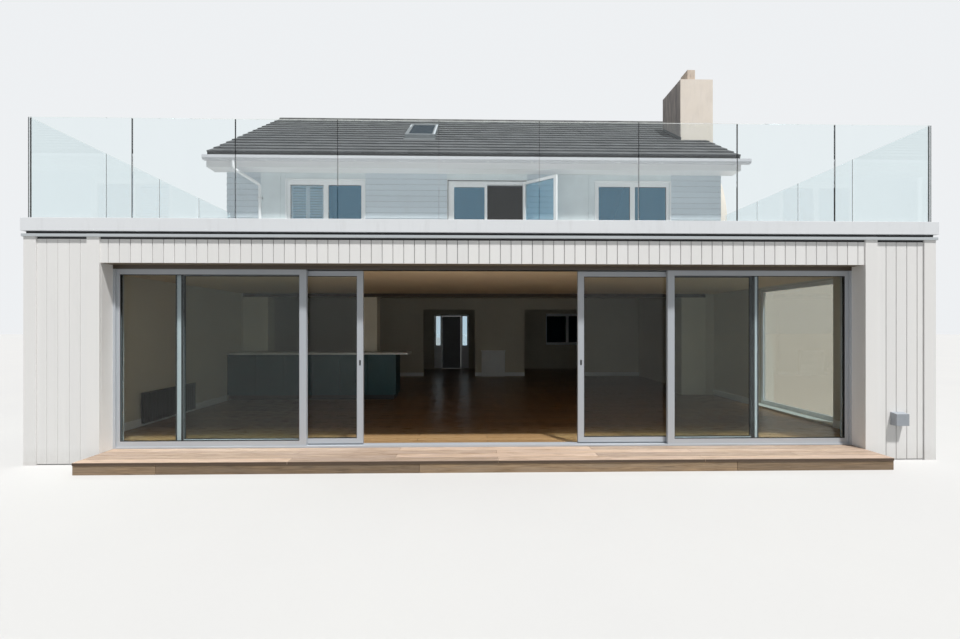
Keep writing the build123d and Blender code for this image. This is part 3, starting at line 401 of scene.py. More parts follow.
def roof_material(name, painted_butt_shade):
    """Weathered tiles: each of its own grey, lichen near the ridge. With the shade flag set, the colour is painted
    near black, as the shade at the butts and under the tiles.
    """
    n = Nodes(name)
    each = n.add("ShaderNodeAttribute", attribute_name="tint").outputs["Fac"]
    blotch = n.noise(0.09, detail=7.0, rough=0.7)
    colour = n.mix(each, (0.029, 0.033, 0.038), (0.072, 0.077, 0.084))
    colour = n.mix(n.span(blotch, 0.45, 0.75, 0.0, 0.45), colour, (0.145, 0.140, 0.125))
    high = n.span(n.part(n.place, 2), RIDGE_Z - 1.3, RIDGE_Z, 0.0, 0.5)
    moss = n.math("MULTIPLY", high, n.span(n.noise(0.35, detail=6.0), 0.42, 0.62))
    colour = n.mix(moss, colour, (0.18, 0.195, 0.18))
    # Painted shade: near black for the butt strips and the slabs under the tiles.
    if painted_butt_shade:
        colour = n.mix(0.85, colour, (0.012, 0.013, 0.015))
    fine = n.noise(0.006, detail=5.0)
    return n.done(n.principled(colour, n.even(blotch, 0.6, 0.85), fine, 0.002))


def floor_material():
    """Studio floor: pale where it is seen, a mid grey for the light that it throws back."""
    n = Nodes("studio_floor_finish")
    pale = n.mix(n.even(n.noise(3.0)), (0.615, 0.615, 0.61), (0.60, 0.60, 0.60))
    fine = n.noise(0.05)
    colour = n.mix(n.seen(), (0.33, 0.33, 0.32), pale)
    return n.coat(colour, fine, 0.85, 0.95, 0.0002)


def pane_material():
    """Window panes: a blue tint and a blue specular tint paint a sky reflection. The roof window gets dark glass that
    paints the shade of the roof space behind it, and the lower rear panes share that dark glass.
    """
    n = Nodes("window_pane_finish")
    streaks = n.noise(0.3, (1, 1, 3), 5.0)
    # The blue tint paints a sky reflection.
    body = n.mix(n.span(streaks, 0.35, 0.7, 0.0, 0.5), (0.50, 0.64, 0.72), (0.44, 0.60, 0.70))
    body = n.mix(n.span(n.part(n.place, 0), 5.2, 5.3), body, (0.62, 0.615, 0.55))
    body = n.mix(n.span(n.part(n.place, 0), -3.50, -3.45, 1.0, 0.0), body, (0.93, 0.96, 0.97))
    shader = n.principled(body, n.even(streaks, 0.0, 0.04), ior=2.1)
    shader.inputs["Transmission Weight"].default_value = 1.0
    # Blue specular tint: painted sky reflection.
    shader.inputs["Specular Tint"].default_value = (0.34, 0.72, 1.0, 1.0)
    # Dark glass: painted shade of the roof space behind the roof window.
    roof = n.principled(n.mix(streaks, (0.010, 0.022, 0.034), (0.016, 0.032, 0.046)),
                        n.even(streaks, 0.10, 0.22), ior=1.012)
    level, across = n.part(n.place, 2), n.part(n.place, 0)
    ends = n.math("GREATER_THAN", n.math("ABSOLUTE", n.math("ADD", across, 0.918), 0.0), 1.2)
    back = n.math("MULTIPLY", n.math("LESS_THAN", level, 2.6), n.math("GREATER_THAN", n.part(n.place, 1), 11.9))
    dark = n.math("MAXIMUM", n.span(level, 5.5, 5.6), n.math("MULTIPLY", back, ends))
    return n.done(n.pick(dark, n.lets_light_in(shader, (0.62, 0.72, 0.78)), roof))


def support_material():
    """Dark beam over the light painted post and piers."""
    n = Nodes("support_finish")
    fine = n.noise(0.008, (5, 1, 1))
    light = n.mix(n.even(n.noise(0.6)), (0.76, 0.71, 0.61), (0.70, 0.655, 0.56))
    dark = n.mix(fine, (0.060, 0.046, 0.036), (0.085, 0.065, 0.050))
    colour = n.mix(n.span(n.part(n.place, 2), 2.349, 2.351), light, dark)
    return n.coat(colour, fine, 0.6, 0.8, 0.0006)


def lintel_material():
    """White paint, its soffit painted dark brown as the shade under the lintel."""
    n = Nodes("lintel_core_finish")
    slow, fine = n.noise(0.5, (1, 2, 1), 6.0), n.noise(0.004)
    colour = n.mix(n.even(slow), (0.88, 0.875, 0.865), (0.84, 0.835, 0.82))
    stain_and_shade = n.mix(n.even(slow), (0.21, 0.175, 0.125), (0.15, 0.12, 0.085))
    # Painted shade: downward faces take the dark brown tone.
    colour = n.mix(n.facing(2, -0.9, -0.5), colour, stain_and_shade)
    return n.coat(colour, fine, 0.45, 0.6, 0.0003)


def outer_frame_material():
    """Coated frame; above 2.4 m its head is painted dark olive as the shade under the lintel, with a near-black
    painted shade line on the head's underside.
    """
    n = Nodes("outer_frame_finish")
    slow, fine = n.noise(0.8, (1, 1, 3)), n.noise(0.0015)
    colour = n.mix(n.even(slow), (0.49, 0.52, 0.56), (0.45, 0.485, 0.53))
    high = n.part(n.place, 2)
    # Painted shade of the lintel on the frame's head.
    colour = n.mix(n.span(high, 2.399, 2.402), colour, (0.075, 0.058, 0.042))
    # Painted shade line on the downward faces of the head.
    under = n.math("MULTIPLY", n.facing(2, -0.9, -0.5), n.span(high, 2.380, 2.385))
    colour = n.mix(under, colour, (0.012, 0.012, 0.013))
    return n.coat(colour, fine, 0.30, 0.42, 0.00015)


def garden_floor_material():
    """Oiled boards along the house, painted paler near the threshold as the pool of sunlight that falls in there."""
    n = Nodes("floor_boards")
    pattern = n.brick(1.9, 0.14, 0.0025, [(tone,) * 3 for tone in (0.25, 0.75, 0.0)])
    fine = n.noise(0.01, (26, 1, 1), 5.0)
    tone = n.math("ADD", n.math("MULTIPLY", pattern.outputs["Color"], 0.6), n.math("MULTIPLY", fine, 0.4))
    inside = n.mix(n.span(tone, 0.2, 0.75), (0.12, 0.052, 0.021), (0.28, 0.142, 0.058))
    painted_sun_pool = n.mix(n.span(tone, 0.2, 0.75), (0.30, 0.175, 0.080), (0.475, 0.31, 0.155))
    # Painted light: the paler tone up to 0.9 m from the front, fading out by 1.5 m, stands for the sunlit strip.
    colour = n.mix(n.span(n.part(n.place, 1), 0.9, 1.5, 1.0, 0.0), inside, painted_sun_pool)
    colour = n.mix(pattern.outputs["Fac"], colour, (0.03, 0.015, 0.008))
    colour = n.mix(n.facing(2, -0.6, -0.4), colour, (0.45, 0.44, 0.42))
    height = n.math("SUBTRACT", fine, n.math("MULTIPLY", pattern.outputs["Fac"], 2.0))
    return n.done(n.principled(colour, n.even(fine, 0.22, 0.38), height, 0.0006))


def chimney_material():
    """Cream render; its left face is painted dark, as shade, from about 5 m up, in streaks that also stand for weather
    stains.
    """
    n = Nodes("chimney_finish")
    colour = n.mix(n.even(n.noise(0.5)), (0.89, 0.81, 0.73), (0.85, 0.77, 0.68))
    streak = n.span(n.noise(0.05, (1, 1, 14), 6.0, 0.7), 0.35, 0.65, 0.35, 1.0)
    side = n.facing(0, -0.8, -0.4, 0.85)
    up = n.span(n.part(n.place, 2), 5.0, 5.8)
    # Painted shade in streaks on faces that look toward -X.
    colour = n.mix(n.math("MULTIPLY", n.math("MULTIPLY", side, up), streak), colour, (0.17, 0.15, 0.165))
    grime = n.span(n.noise(0.12, (1, 1, 5), 5.0), 0.5, 0.8, 0.0, 0.3)
    colour = n.mix(grime, colour, (0.55, 0.50, 0.45))
    fine = n.noise(0.012, detail=6.0)
    return n.coat(colour, fine, 0.75, 0.92, 0.0025)


SPLASH = ((0.50, 0.47, 0.43), 0.35, 0.22)
PAINT = surface("cladding_paint", (0.90, 0.895, 0.885), (0.87, 0.868, 0.865), 0.5, (1, 1, 4), (0.42, 0.58), 0.006,
                (1, 1, 18), 0.0008, 0.05, ((0.66, 0.66, 0.65), 0.16, 0.09, (1, 1, 9)), SPLASH)
TRIM = surface("trim_paint", (0.90, 0.895, 0.885), (0.88, 0.875, 0.87), 0.7, (1, 1, 4), (0.40, 0.55), 0.006,
               (1, 1, 18), 0.0006, 0.03, ((0.70, 0.70, 0.69), 0.12, 0.10, (1, 1, 9)), SPLASH)
LINTEL_CORE = lintel_material()
BAND = surface("band_coat", (0.56, 0.60, 0.63), (0.51, 0.55, 0.58), 1.2, (3, 1, 1), (0.35, 0.5))
# Near-black lining of the gaps round the coping: painted shade.
GAP_PAINTED_SHADE = surface("gap_lining", (0.030, 0.030, 0.033), (0.045, 0.045, 0.048), 0.2, rough=(0.8, 0.95))
# Grey backing of the board joints: painted shade in the grooves, with dirt marks on top.
GROOVE_PAINTED_SHADE = surface("groove_paint", (0.50, 0.50, 0.50), (0.42, 0.42, 0.42), 0.2, rough=(0.7, 0.9),
                       dirt=((0.22, 0.21, 0.20), 0.4, 0.08, (1, 1, 8)))
# The top tone is painted shade on the coping's upward faces.
COPING = surface("coping_coat", (0.85, 0.875, 0.905), (0.80, 0.83, 0.865), 1.4, (3, 1, 1), (0.32, 0.46), 0.002,
                 bump=0.0002, dirt=((0.52, 0.53, 0.54), 0.22, 0.10, (1, 1, 7)), top=(0.59, 0.605, 0.62))
ALLOY = surface("frame_coat", (0.49, 0.52, 0.56), (0.45, 0.485, 0.53), 0.8, (1, 1, 3), (0.30, 0.42), 0.0015,
                bump=0.00015, dirt=((0.50, 0.50, 0.49), 0.12, 0.07, (1, 1, 5)))
BOARD = surface("weatherboard_paint", (0.70, 0.77, 0.83), (0.66, 0.735, 0.80), 0.7, (6, 6, 1), (0.48, 0.62), 0.006,
                (16, 16, 1), 0.0010, 0.06, ((0.52, 0.56, 0.56), 0.20, 0.10, (1, 1, 3)))
# Dark strips under the weatherboards' feet and round the terrace door architrave: painted shade.
LAP_PAINTED_SHADE = surface("lap_joint", (0.10, 0.12, 0.13), (0.14, 0.16, 0.17), 0.3, rough=(0.7, 0.9))
PANEL = surface("panel_paint", (0.79, 0.86, 0.89), (0.69, 0.745, 0.775), 0.6, rough=(0.45, 0.6),
                dirt=((0.60, 0.63, 0.62), 0.15, 0.12, (1, 1, 4)))
# The top tone is painted shade on the upward faces of the white plastic parts.
PLASTIC = surface("white_plastic_finish", (0.90, 0.91, 0.93), (0.87, 0.885, 0.905), 0.9, rough=(0.25, 0.38),
                  grain=0.003, bump=0.0001, dirt=((0.62, 0.64, 0.62), 0.16, 0.10, (1, 1, 4)), top=(0.63, 0.635, 0.64))
GUTTER = surface("gutter_finish", (0.70, 0.70, 0.735), (0.655, 0.66, 0.70), 0.7, (3, 1, 1), (0.3, 0.45))
EAVES = surface("eaves_finish", (0.89, 0.885, 0.90), (0.86, 0.86, 0.87), 0.7, (2, 1, 1), (0.35, 0.5))
PLASTER = surface("interior_finish", (0.66, 0.62, 0.53), (0.62, 0.58, 0.50), 0.9, rough=(0.75, 0.9), grain=0.01,
                  bump=0.0006)
CEILING_PAINT = surface("ceiling_finish", (0.62, 0.54, 0.43), (0.58, 0.50, 0.40), 1.2, rough=(0.8, 0.92), grain=0.01,
                        bump=0.0006)
LEAD = surface("lead_finish", (0.075, 0.085, 0.092), (0.12, 0.13, 0.135), 0.15, rough=(0.5, 0.7), grain=0.01,
               bump=0.001)
SOCKET = surface("socket_finish", (0.36, 0.39, 0.43), (0.33, 0.36, 0.40), 0.1, rough=(0.4, 0.55), grain=0.0012,
                 bump=0.0002)
RUBBER = surface("gasket_rubber", (0.018, 0.018, 0.020), (0.028, 0.028, 0.03), 0.2, rough=(0.55, 0.7), grain=0.002)
CLAY = surface("pot_finish", (0.72, 0.62, 0.52), (0.60, 0.50, 0.42), 0.08, rough=(0.7, 0.9), grain=0.006, bump=0.001,
               dirt=((0.16, 0.14, 0.14), 0.6, 0.07, (1, 1, 3)))
ENTRY_PAINT = surface("entrance_finish", (0.10, 0.11, 0.12), (0.13, 0.14, 0.15), 0.5, rough=(0.35, 0.5))
RADIATOR = surface("radiator_coat", (0.030, 0.034, 0.036), (0.042, 0.046, 0.048), 0.3, rough=(0.4, 0.55))
SHUTTER = surface("shutter_finish", (0.88, 0.90, 0.91), (0.84, 0.86, 0.88), 0.3, rough=(0.4, 0.55))
FLUE_METAL = surface("roof_window_finish", (0.10, 0.115, 0.125), (0.14, 0.155, 0.165), 0.3, rough=(0.35, 0.5))
BRACKET = surface("bracket_plastic", (0.80, 0.81, 0.82), (0.76, 0.77, 0.79), 0.3, rough=(0.3, 0.42))
# The second material, made with the shade flag, is the near-black painted shade under the tile butts.
TILE, TILE_PAINTED_SHADE = roof_material("tile_face", False), roof_material("tile_butt", True)
# The front tone is painted shade on the step's front faces, with the weathered dark of the front edge.
STEP = timber("step_boards_finish", (0.74, 0.57, 0.44), (0.42, 0.29, 0.20), 0, tint=0.45, grey=(0.60, 0.47, 0.40),
              front=(0.085, 0.055, 0.036))
STEP_FACE = timber("step_face_finish", (0.44, 0.305, 0.185), (0.23, 0.155, 0.09), 0, tint=0.45,
                   grey=(0.37, 0.28, 0.20))
SLAB = surface("slab_stone", (0.62, 0.61, 0.59), (0.56, 0.55, 0.535), 0.25, rough=(0.7, 0.88), grain=0.008,
               bump=0.0015, tint=0.14, dirt=((0.36, 0.35, 0.32), 0.35, 0.2, (1, 1, 1)))
DOOR_GLASS = glass("door_glass_finish", (0.77, 0.82, 0.81), (0.05, 0.13, 0.12), 1, ior=1.25)
RAIL_TINT, RAIL_EDGE = (0.935, 0.985, 0.990), (0.02, 0.12, 0.13)
COUNTER = counter_material()

# The finish of every node that stays, and the nodes that have it
FINISH = (
    (PLASTER, "extension_left_wall extension_right_wall house_left_wall house_right_wall back_wall_lower "
              "back_wall_upper hall_wall"),
    (garden_floor_material(), "ground_floor"), (outer_frame_material(), "door_outer_frame"),
    (TRIM, "pier_trim_boards"), (paving_material(), "terrace_roof"), (COPING, "terrace_coping balustrade_shoe"),
    (glass("front_balustrade_finish", RAIL_TINT, RAIL_EDGE, 1), "front_balustrade_glass"),
    (glass("side_balustrade_finish", RAIL_TINT, RAIL_EDGE, 0), "side_balustrade_glass"),
    (ALLOY, "fixed_leaf_frames left_sliding_leaf right_sliding_leaf"),
    (DOOR_GLASS, "fixed_leaf_glass left_sliding_glass right_sliding_glass"), (SOCKET, "outdoor_socket"),
    (PANEL, "upper_front_wall"), (support_material(), "support_frame"), (CEILING_PAINT, "first_floor"),
    (COUNTER, "kitchen_counter"), (chimney_material(), "chimney"), (CLAY, "chimney_pot"),
    (TILE_PAINTED_SHADE, "front_roof_slope rear_roof_slope"), (FLUE_METAL, "roof_window"),
    (EAVES, "eaves_boards bargeboards"), (GUTTER, "gutters"), (pane_material(), "window_glass"),
    (PLASTIC, "downpipe window_frames terrace_door_frame terrace_door_open_leaf entrance_frame"),
    (SHUTTER, "louvre_shutters"), (ENTRY_PAINT, "entrance_door"),
)
for material, node_names in FINISH:
    for node in [NODES[node_name] for node_name in node_names.split()]:
        if not node.material_slots:
            node.data.materials.append(material)
        for place in node.material_slots:
            place.material = material


# Cladding of the extension

GROOVE, GROOVE_LEFT, PITCH_X, CLAD = 0.009, 0.005, 0.1323, 0.014
OUTER_TRIM, INNER_TRIM = 0.146, 0.152
BOARD_TOP, BAND_LOW, BAND_TOP, COPING_LOW = 2.737, 2.762, 2.796, 2.831
LIP = -0.031
LEFT_JOINTS = [-5.357, -5.226, -5.091, -4.960]
RIGHT_JOINTS = [4.995, 5.125, 5.261, 5.394]
LINTEL_JOINTS = [0.004 + PITCH_X * k for k in range(-35, 36)]


def piers():
    core, boards = Shape(), Shape()
    for x0, x1 in ((EXT_L, REC_L), (REC_R, EXT_R)):
        core.block(x0, x1, CLAD, FRONT_WALL, 0, WALL_TOP, 0.5)
    left = [EXT_L + OUTER_TRIM] + LEFT_JOINTS + [REC_L - INNER_TRIM]
    right = [REC_R + INNER_TRIM] + RIGHT_JOINTS + [EXT_R - OUTER_TRIM]
    for edges, gap in ((left, GROOVE_LEFT), (right, GROOVE)):
        for x0, x1 in zip(edges, edges[1:]):
            boards.block(x0 + gap / 2, x1 - gap / 2, 0.0, CLAD, 0.012, BOARD_TOP)
    for x0, x1 in ((EXT_L, left[0]), (left[-1], REC_L), (REC_R, right[0]), (right[-1], EXT_R)):
        boards.block(x0, x1, 0.0, CLAD, 0.0, WALL_TOP, 0.6)
    piece = core.build("pier_core", "white_cladding", [TRIM])
    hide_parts("front_piers")
    boards.build("pier_cladding", "white_cladding", [PAINT], 0.0012)
    lining = Shape()
    lining.block(REC_L, REC_L + 0.0015, CLAD, 0.2, FLOOR, HEAD, 0.5)
    lining.block(REC_R - 0.0015, REC_R, CLAD, 0.2, FLOOR, HEAD, 0.5)
    for x0, x1 in ((left[0], left[-1]), (right[0], right[-1])):
        lining.block(x0, x1, CLAD - 0.001, CLAD, 0.0, WALL_TOP, 0.5, 1)
    lining.build("reveal_lining", "white_cladding", [TRIM, GROOVE_PAINTED_SHADE])


def lintel():
    core, boards = Shape(), Shape()
    core.block(REC_L, REC_R, CLAD, FRONT_WALL, HEAD, WALL_TOP, 0.5)
    edges = [REC_L - GROOVE / 2] + LINTEL_JOINTS + [REC_R + GROOVE / 2]
    for x0, x1 in zip(edges, edges[1:]):
        boards.block(x0 + GROOVE / 2, x1 - GROOVE / 2, 0.0, CLAD, HEAD, BOARD_TOP)
    piece = core.build("lintel_core", "white_cladding", [LINTEL_CORE])
    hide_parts("front_lintel")
    boards.build("lintel_cladding", "white_cladding", [PAINT], 0.0012)
    back = Shape()
    back.block(REC_L, REC_R, CLAD - 0.001, CLAD, HEAD + 0.004, WALL_TOP, 0.5)
    back.build("lintel_grooves", "white_cladding", [GROOVE_PAINTED_SHADE])


def side_cladding():
    """Upright boards on both sides of the extension, round the full-height window on the right."""
    boards, back = Shape(), Shape()
    hole = (1.300, 3.450, 0.170, 2.430)
    for face, out in ((EXT_L, -1), (EXT_R, 1)):
        x0, x1 = sorted((face, face + out * 0.012))
        m0, m1 = sorted((face, face + out * 0.001))
        y = 0.0
        while y < HOUSE_F - 0.02:
            end = min(y + PITCH_X, HOUSE_F)
            clear = out < 0 or end <= hole[0] or y >= hole[1]
            spans = [(y, end, 0.012, BOARD_TOP)] if clear else [(y, end, 0.012, hole[2]), (y, end, hole[3], BOARD_TOP)]
            if not clear and y < hole[0]:
                spans.append((y, hole[0] + GROOVE / 2, hole[2], hole[3]))
            if not clear and end > hole[1]:
                spans.append((hole[1] - GROOVE / 2, end, hole[2], hole[3]))
            for a, b, z0, z1 in spans:
                boards.block(x0, x1, a + GROOVE / 2, b - GROOVE / 2, z0, z1)
                back.block(m0, m1, a, b, z0, z1, 0.5)
            y = end
    boards.build("side_cladding", "white_cladding", [PAINT], 0.0012)
    back.build("side_grooves", "white_cladding", [GROOVE_PAINTED_SHADE])


def coping():
    """Trim round the terrace: fascia band, shadow gap and coping, with the slot for the glass. The gap pieces are
    lined near black, as painted shade.
    """
    cap, band, gap = Shape(), Shape(), Shape()
    low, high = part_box("terrace_coping")
    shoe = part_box("balustrade_shoe")
    slot_y, slot_x = (shoe[0].y, shoe[0].y + 0.060), (shoe[1].x - 0.060, shoe[1].x)
    edge, inner_x, inner_y = 0.014, EXT_R - 0.300, 0.300
    cap.block(low.x, high.x, LIP, slot_y[0], COPING_LOW, high.z, 0.5)
    cap.block(-slot_x[1], slot_x[1], slot_y[0], slot_y[1], COPING_LOW, shoe[0].z, 0.5)
    cap.block(-slot_x[0], slot_x[0], slot_y[1], inner_y, COPING_LOW, high.z, 0.5)
    band.block(low.x + 0.010, high.x - 0.010, LIP, edge, BAND_LOW, BAND_TOP, 0.5)
    gap.block(-EXT_R + 0.010, EXT_R - 0.010, 0.010, inner_y, WALL_TOP, COPING_LOW, 0.5)
    gap.block(-EXT_R, EXT_R, 0.006, edge, BOARD_TOP, WALL_TOP, 0.5)
    for side in (-1, 1):
        def bar(shape, a, b, y0, y1, z0, z1):
            shape.block(*sorted((side * a, side * b)), y0, y1, z0, z1, 0.5)
        bar(cap, slot_x[1], high.x, slot_y[0], HOUSE_F, COPING_LOW, high.z)
        bar(cap, slot_x[0], slot_x[1], slot_y[1], HOUSE_F, COPING_LOW, shoe[0].z)
        bar(cap, inner_x, slot_x[0], inner_y, HOUSE_F, COPING_LOW, high.z)
        bar(band, EXT_R - 0.020, high.x - 0.010, edge, HOUSE_F, BAND_LOW, BAND_TOP)
        bar(gap, inner_x, EXT_R - 0.010, inner_y, HOUSE_F, WALL_TOP, COPING_LOW)
        bar(gap, EXT_R, EXT_R + 0.004, edge, HOUSE_F, BOARD_TOP, BAND_LOW)
    piece = cap.build("coping_cap", "edge_trim", [COPING], 0.0020)
    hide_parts("terrace_coping")
    band.build("coping_band", "edge_trim", [BAND], 0.0015)
    gap.build("coping_gap", "edge_trim", [GAP_PAINTED_SHADE])


# Weatherboards of the house

LAP, FOOT, TIP, LAP_GAP = 0.1263, 0.015, 0.004, 0.003


def front_place(a, out, z):
    return (a, HOUSE_F - out, z)


def back_place(a, out, z):
    return (a, HOUSE_B + out, z)


def left_place(a, out, z):
    return (HOUSE_L - out, a, z)


def right_place(a, out, z):
    return (HOUSE_R + out, a, z)


FRONT_WINDOWS = [(front_place, *ends, SILL, WINDOW_HEAD) for ends in (LEFT_WINDOW, RIGHT_WINDOW)]
BACK_OPENINGS = [(m - BACK_W, m + BACK_W, SILL, WINDOW_HEAD) for m in BACK_WINDOWS]
BACK_OPENINGS += [(m - BACK_W, m + BACK_W, LOWER_SILL, LOWER_HEAD) for m in (BACK_WINDOWS[0], BACK_WINDOWS[2])]
REAR_WINDOWS = [(back_place, *opening) for opening in BACK_OPENINGS]


def free_runs(a0, a1, z0, z1, holes):
    """Parts of a course between the openings that it crosses."""
    runs = [(a0, a1)]
    for h0, h1, low, high in holes:
        if high <= z0 + 1e-6 or low >= z1 - 1e-6:
            continue
        cut = []
        for r0, r1 in runs:
            if h1 <= r0 or h0 >= r1:
                cut.append((r0, r1))
                continue
            cut += [(r0, h0)] if h0 > r0 + 0.01 else []
            cut += [(h1, r1)] if h1 < r1 - 0.01 else []
        runs = cut
    return runs


def lap_boards(shape, place, outline, low, high, holes):
    """Lapped boards on a wall, each with a dark strip under its foot, painted as the shade of the lap. outline(z)
    gives the wall's ends.
    """
    z = low
    while z < high - 0.01:
        top = min(z + LAP, high)
        foot = min(z + LAP_GAP, top - 0.001)
        cuts = sorted({z, foot, top, *[c for h in holes for c in h[2:] if foot < c < top]})
        tint = rng.random()
        for z0, z1 in zip(cuts, cuts[1:]):
            thick = [FOOT + (TIP - FOOT) * (c - z) / LAP for c in (z0, z1)] if z0 > z else [LAP_GAP, LAP_GAP]
            ends0, ends1 = outline(z0), outline(z1)
            if ends0[1] - ends0[0] < 0.05 or ends1[1] - ends1[0] < 0.01:
                continue
            for r0, r1 in free_runs(*ends0, z0, z1, holes):
                s0 = ends1[0] if r0 == ends0[0] else r0
                s1 = ends1[1] if r1 == ends0[1] else r1
                if s1 - s0 < 0.005:
                    continue
                rings = [[place(a, 0, c), place(b, 0, c), place(b, out, c), place(a, out, c)]
                         for a, b, out, c in ((r0, r1, thick[0], z0), (s0, s1, thick[1], z1))]
                shape.hexa(*rings, tint, 0 if z0 > z else 1)
        z = top


def roof_under(y):
    return RIDGE_Z - abs(RIDGE_Y - y) * math.tan(PITCH) - ROOF_DROP


def gable_ends(z):
    """Both ends of a gable wall at a height."""
    reach = (roof_under(RIDGE_Y) - z) / math.tan(PITCH)
    return max(HOUSE_F, RIDGE_Y - reach), min(HOUSE_B, RIDGE_Y + reach)


def front_boards():
    shape = Shape()
    low = TERRACE + 0.034
    for a0, a1 in ((HOUSE_L, -4.890), (-2.570, -0.748), (1.060, 1.726), (4.329, HOUSE_R)):
        lap_boards(shape, front_place, lambda z, a=a0, b=a1: (a, b), low, SOFFIT, [])
    for a0, a1 in ((-4.448, -2.572), (2.480, 4.327)):
        lap_boards(shape, front_place, lambda z, a=a0, b=a1: (a, b), low, SILL - SILL_DEPTH, [])
    shape.build("front_weatherboards", "weatherboard", [BOARD, LAP_PAINTED_SHADE], 0.0010)
    panels = Shape()
    for a0, a1 in ((-4.886, -4.452), (1.730, 2.432), (2.440, 2.478)):
        panels.block(a0, a1, HOUSE_F - 0.012, HOUSE_F, TERRACE + 0.015, SOFFIT, 0.5)
    for a0, a1 in ((-4.448, -4.342), (2.478, 2.587)):
        panels.block(a0, a1, HOUSE_F - 0.012, HOUSE_F, SILL - SILL_DEPTH, SOFFIT, 0.5)
    panels.build("front_panels", "weatherboard", [PANEL], 0.0020)


def other_boards():
    shape = Shape()
    holes = [(a0 - 0.01, a1 + 0.01, sill - SILL_DEPTH, head) for a0, a1, sill, head in BACK_OPENINGS]
    holes.append((ENTRY[0].x, ENTRY[1].x, 0.0, ENTRY[1].z))
    lap_boards(shape, back_place, lambda z: (HOUSE_L, HOUSE_R), 0.02, SOFFIT, holes)
    for place in (left_place, right_place):
        lap_boards(shape, place, gable_ends, 0.02, roof_under(RIDGE_Y), [])
    shape.build("gable_weatherboards", "weatherboard", [BOARD, LAP_PAINTED_SHADE], 0.0010)


def architraves():
    """Flat boards round the window openings."""
    shape = Shape()
    width, thick, gap = 0.024, 0.020, 0.014
    door = (front_place, *TERRACE_DOOR, TERRACE + 0.03, WINDOW_HEAD)
    for place, a0, a1, z0, z1 in [*FRONT_WINDOWS, door, *REAR_WINDOWS]:
        top = min(z1 + width, SOFFIT)
        for edges in ((a0 - width, a0, z0, top), (a1, a1 + width, z0, top), (a0, a1, z1, top)):
            shape.panel(place, *edges, 0, thick)
    place, d0, d1, z0, z1 = door
    # A dark strip round the terrace door, between architrave and frame, painted as a shadow gap.
    for edges in ((d0 - gap, d0, z0, z1), (d1, d1 + gap, z0, z1), (d0 - gap, d1 + gap, z1, z1 + gap)):
        shape.panel(place, *edges, 0, thick + 0.0015, 0.5, 1)
    shape.build("window_architraves", "window_plastic", [PLASTIC, LAP_PAINTED_SHADE], 0.0020)


# Roof

SLOPE_LENGTH = (RIDGE_Y - EAVES_F) / math.cos(PITCH)
COURSES, GAUGE = 14, 0.320
TILE_WIDTH, TILE_GAP, BUTT = 0.330, 0.003, 0.040


def slope_point(rear, x, along, out):
    """Point on a slope: along it from the eaves, and out from its surface."""
    run = along * math.cos(PITCH) - out * math.sin(PITCH)
    y = EAVES_B - run if rear else EAVES_F + run
    return (x, y, EAVES_Z + along * math.sin(PITCH) + out * math.cos(PITCH))


def slope_slab(shape, rear, x0, x1, s0, s1, low0, low1, thick, tint=None, slot=0):
    corners = ((x0, s0, low0), (x1, s0, low0), (x1, s1, low1), (x0, s1, low1))
    shape.hexa(*[[slope_point(rear, x, s, low + up) for x, s, low in corners] for up in (0, thick)], tint, slot)


def tiles(rear):
    """Lapped courses of flat tiles in broken bond, cut round the roof window."""
    shape = Shape()
    holes = [] if rear else [(LIGHT_L - 0.01, LIGHT_R + 0.01, LIGHT_LOW - 0.14, LIGHT_HIGH + 0.05)]
    for course in range(COURSES + 1):
        s0 = course * GAUGE
        s1 = min(s0 + GAUGE + 0.05, SLOPE_LENGTH - 0.005)
        shift = TILE_WIDTH / 2 if course % 2 else 0.0
        x = VERGE_L - shift
        while x < VERGE_R - 0.01:
            a0, a1 = max(x, VERGE_L), min(x + TILE_WIDTH, VERGE_R)
            x += TILE_WIDTH
            if a1 - a0 < 0.03:
                continue
            lift = rng.uniform(0.0, 0.003)
            tint = rng.random()
            for r0, r1 in free_runs(a0 + TILE_GAP / 2, a1 - TILE_GAP / 2, s0 + 0.05, s1 - 0.06, holes):
                slope_slab(shape, rear, r0, r1, s0, s1, 0.012 + lift, -0.012, BUTT, tint)
    shape.build("rear_roof_tiles" if rear else "front_roof_tiles", "roof_tiles", [TILE])


def butts(rear):
    """Near-black strips, painted as the shade under each course's butt, that close the step below each course."""
    shape = Shape()
    hole = (LIGHT_L - 0.01, LIGHT_R + 0.01, LIGHT_LOW - 0.14, LIGHT_HIGH)
    for course in range(COURSES + 1):
        s0 = course * GAUGE + 0.006
        s1 = s0 + 0.05
        for x0, x1 in free_runs(VERGE_L + 0.002, VERGE_R - 0.002, s0, s1, [] if rear else [hole]):
            slope_slab(shape, rear, x0, x1, s0, s1, 0.0, 0.0, 0.010, 0.3)
    shape.build(("rear" if rear else "front") + "_tile_painted_shadow_strips", "roof_tiles", [TILE_PAINTED_SHADE])


def arc_tube(shape, x0, x1, centre, radius, thick, reach, steps, tint=None, slot=0):
    """Open half-round tile along X."""
    angles = [math.radians(-reach + 2 * reach * i / steps) for i in range(steps + 1)]

    def ring(x):
        return [(x, centre[0] + r * math.sin(a), centre[1] + r * math.cos(a))
                for r, arc in ((radius, angles), (radius - thick, angles[::-1])) for a in arc]

    near, far = ring(x0), ring(x1)
    count = len(near)
    faces = [(i, (i + 1) % count, count + (i + 1) % count, count + i) for i in range(count)]
    for i in range(steps):
        cap = (i, i + 1, count - 2 - i, count - 1 - i)
        faces += [cap[::-1], tuple(count + j for j in cap)]
    shape.solid(near + far, faces, tint, slot)


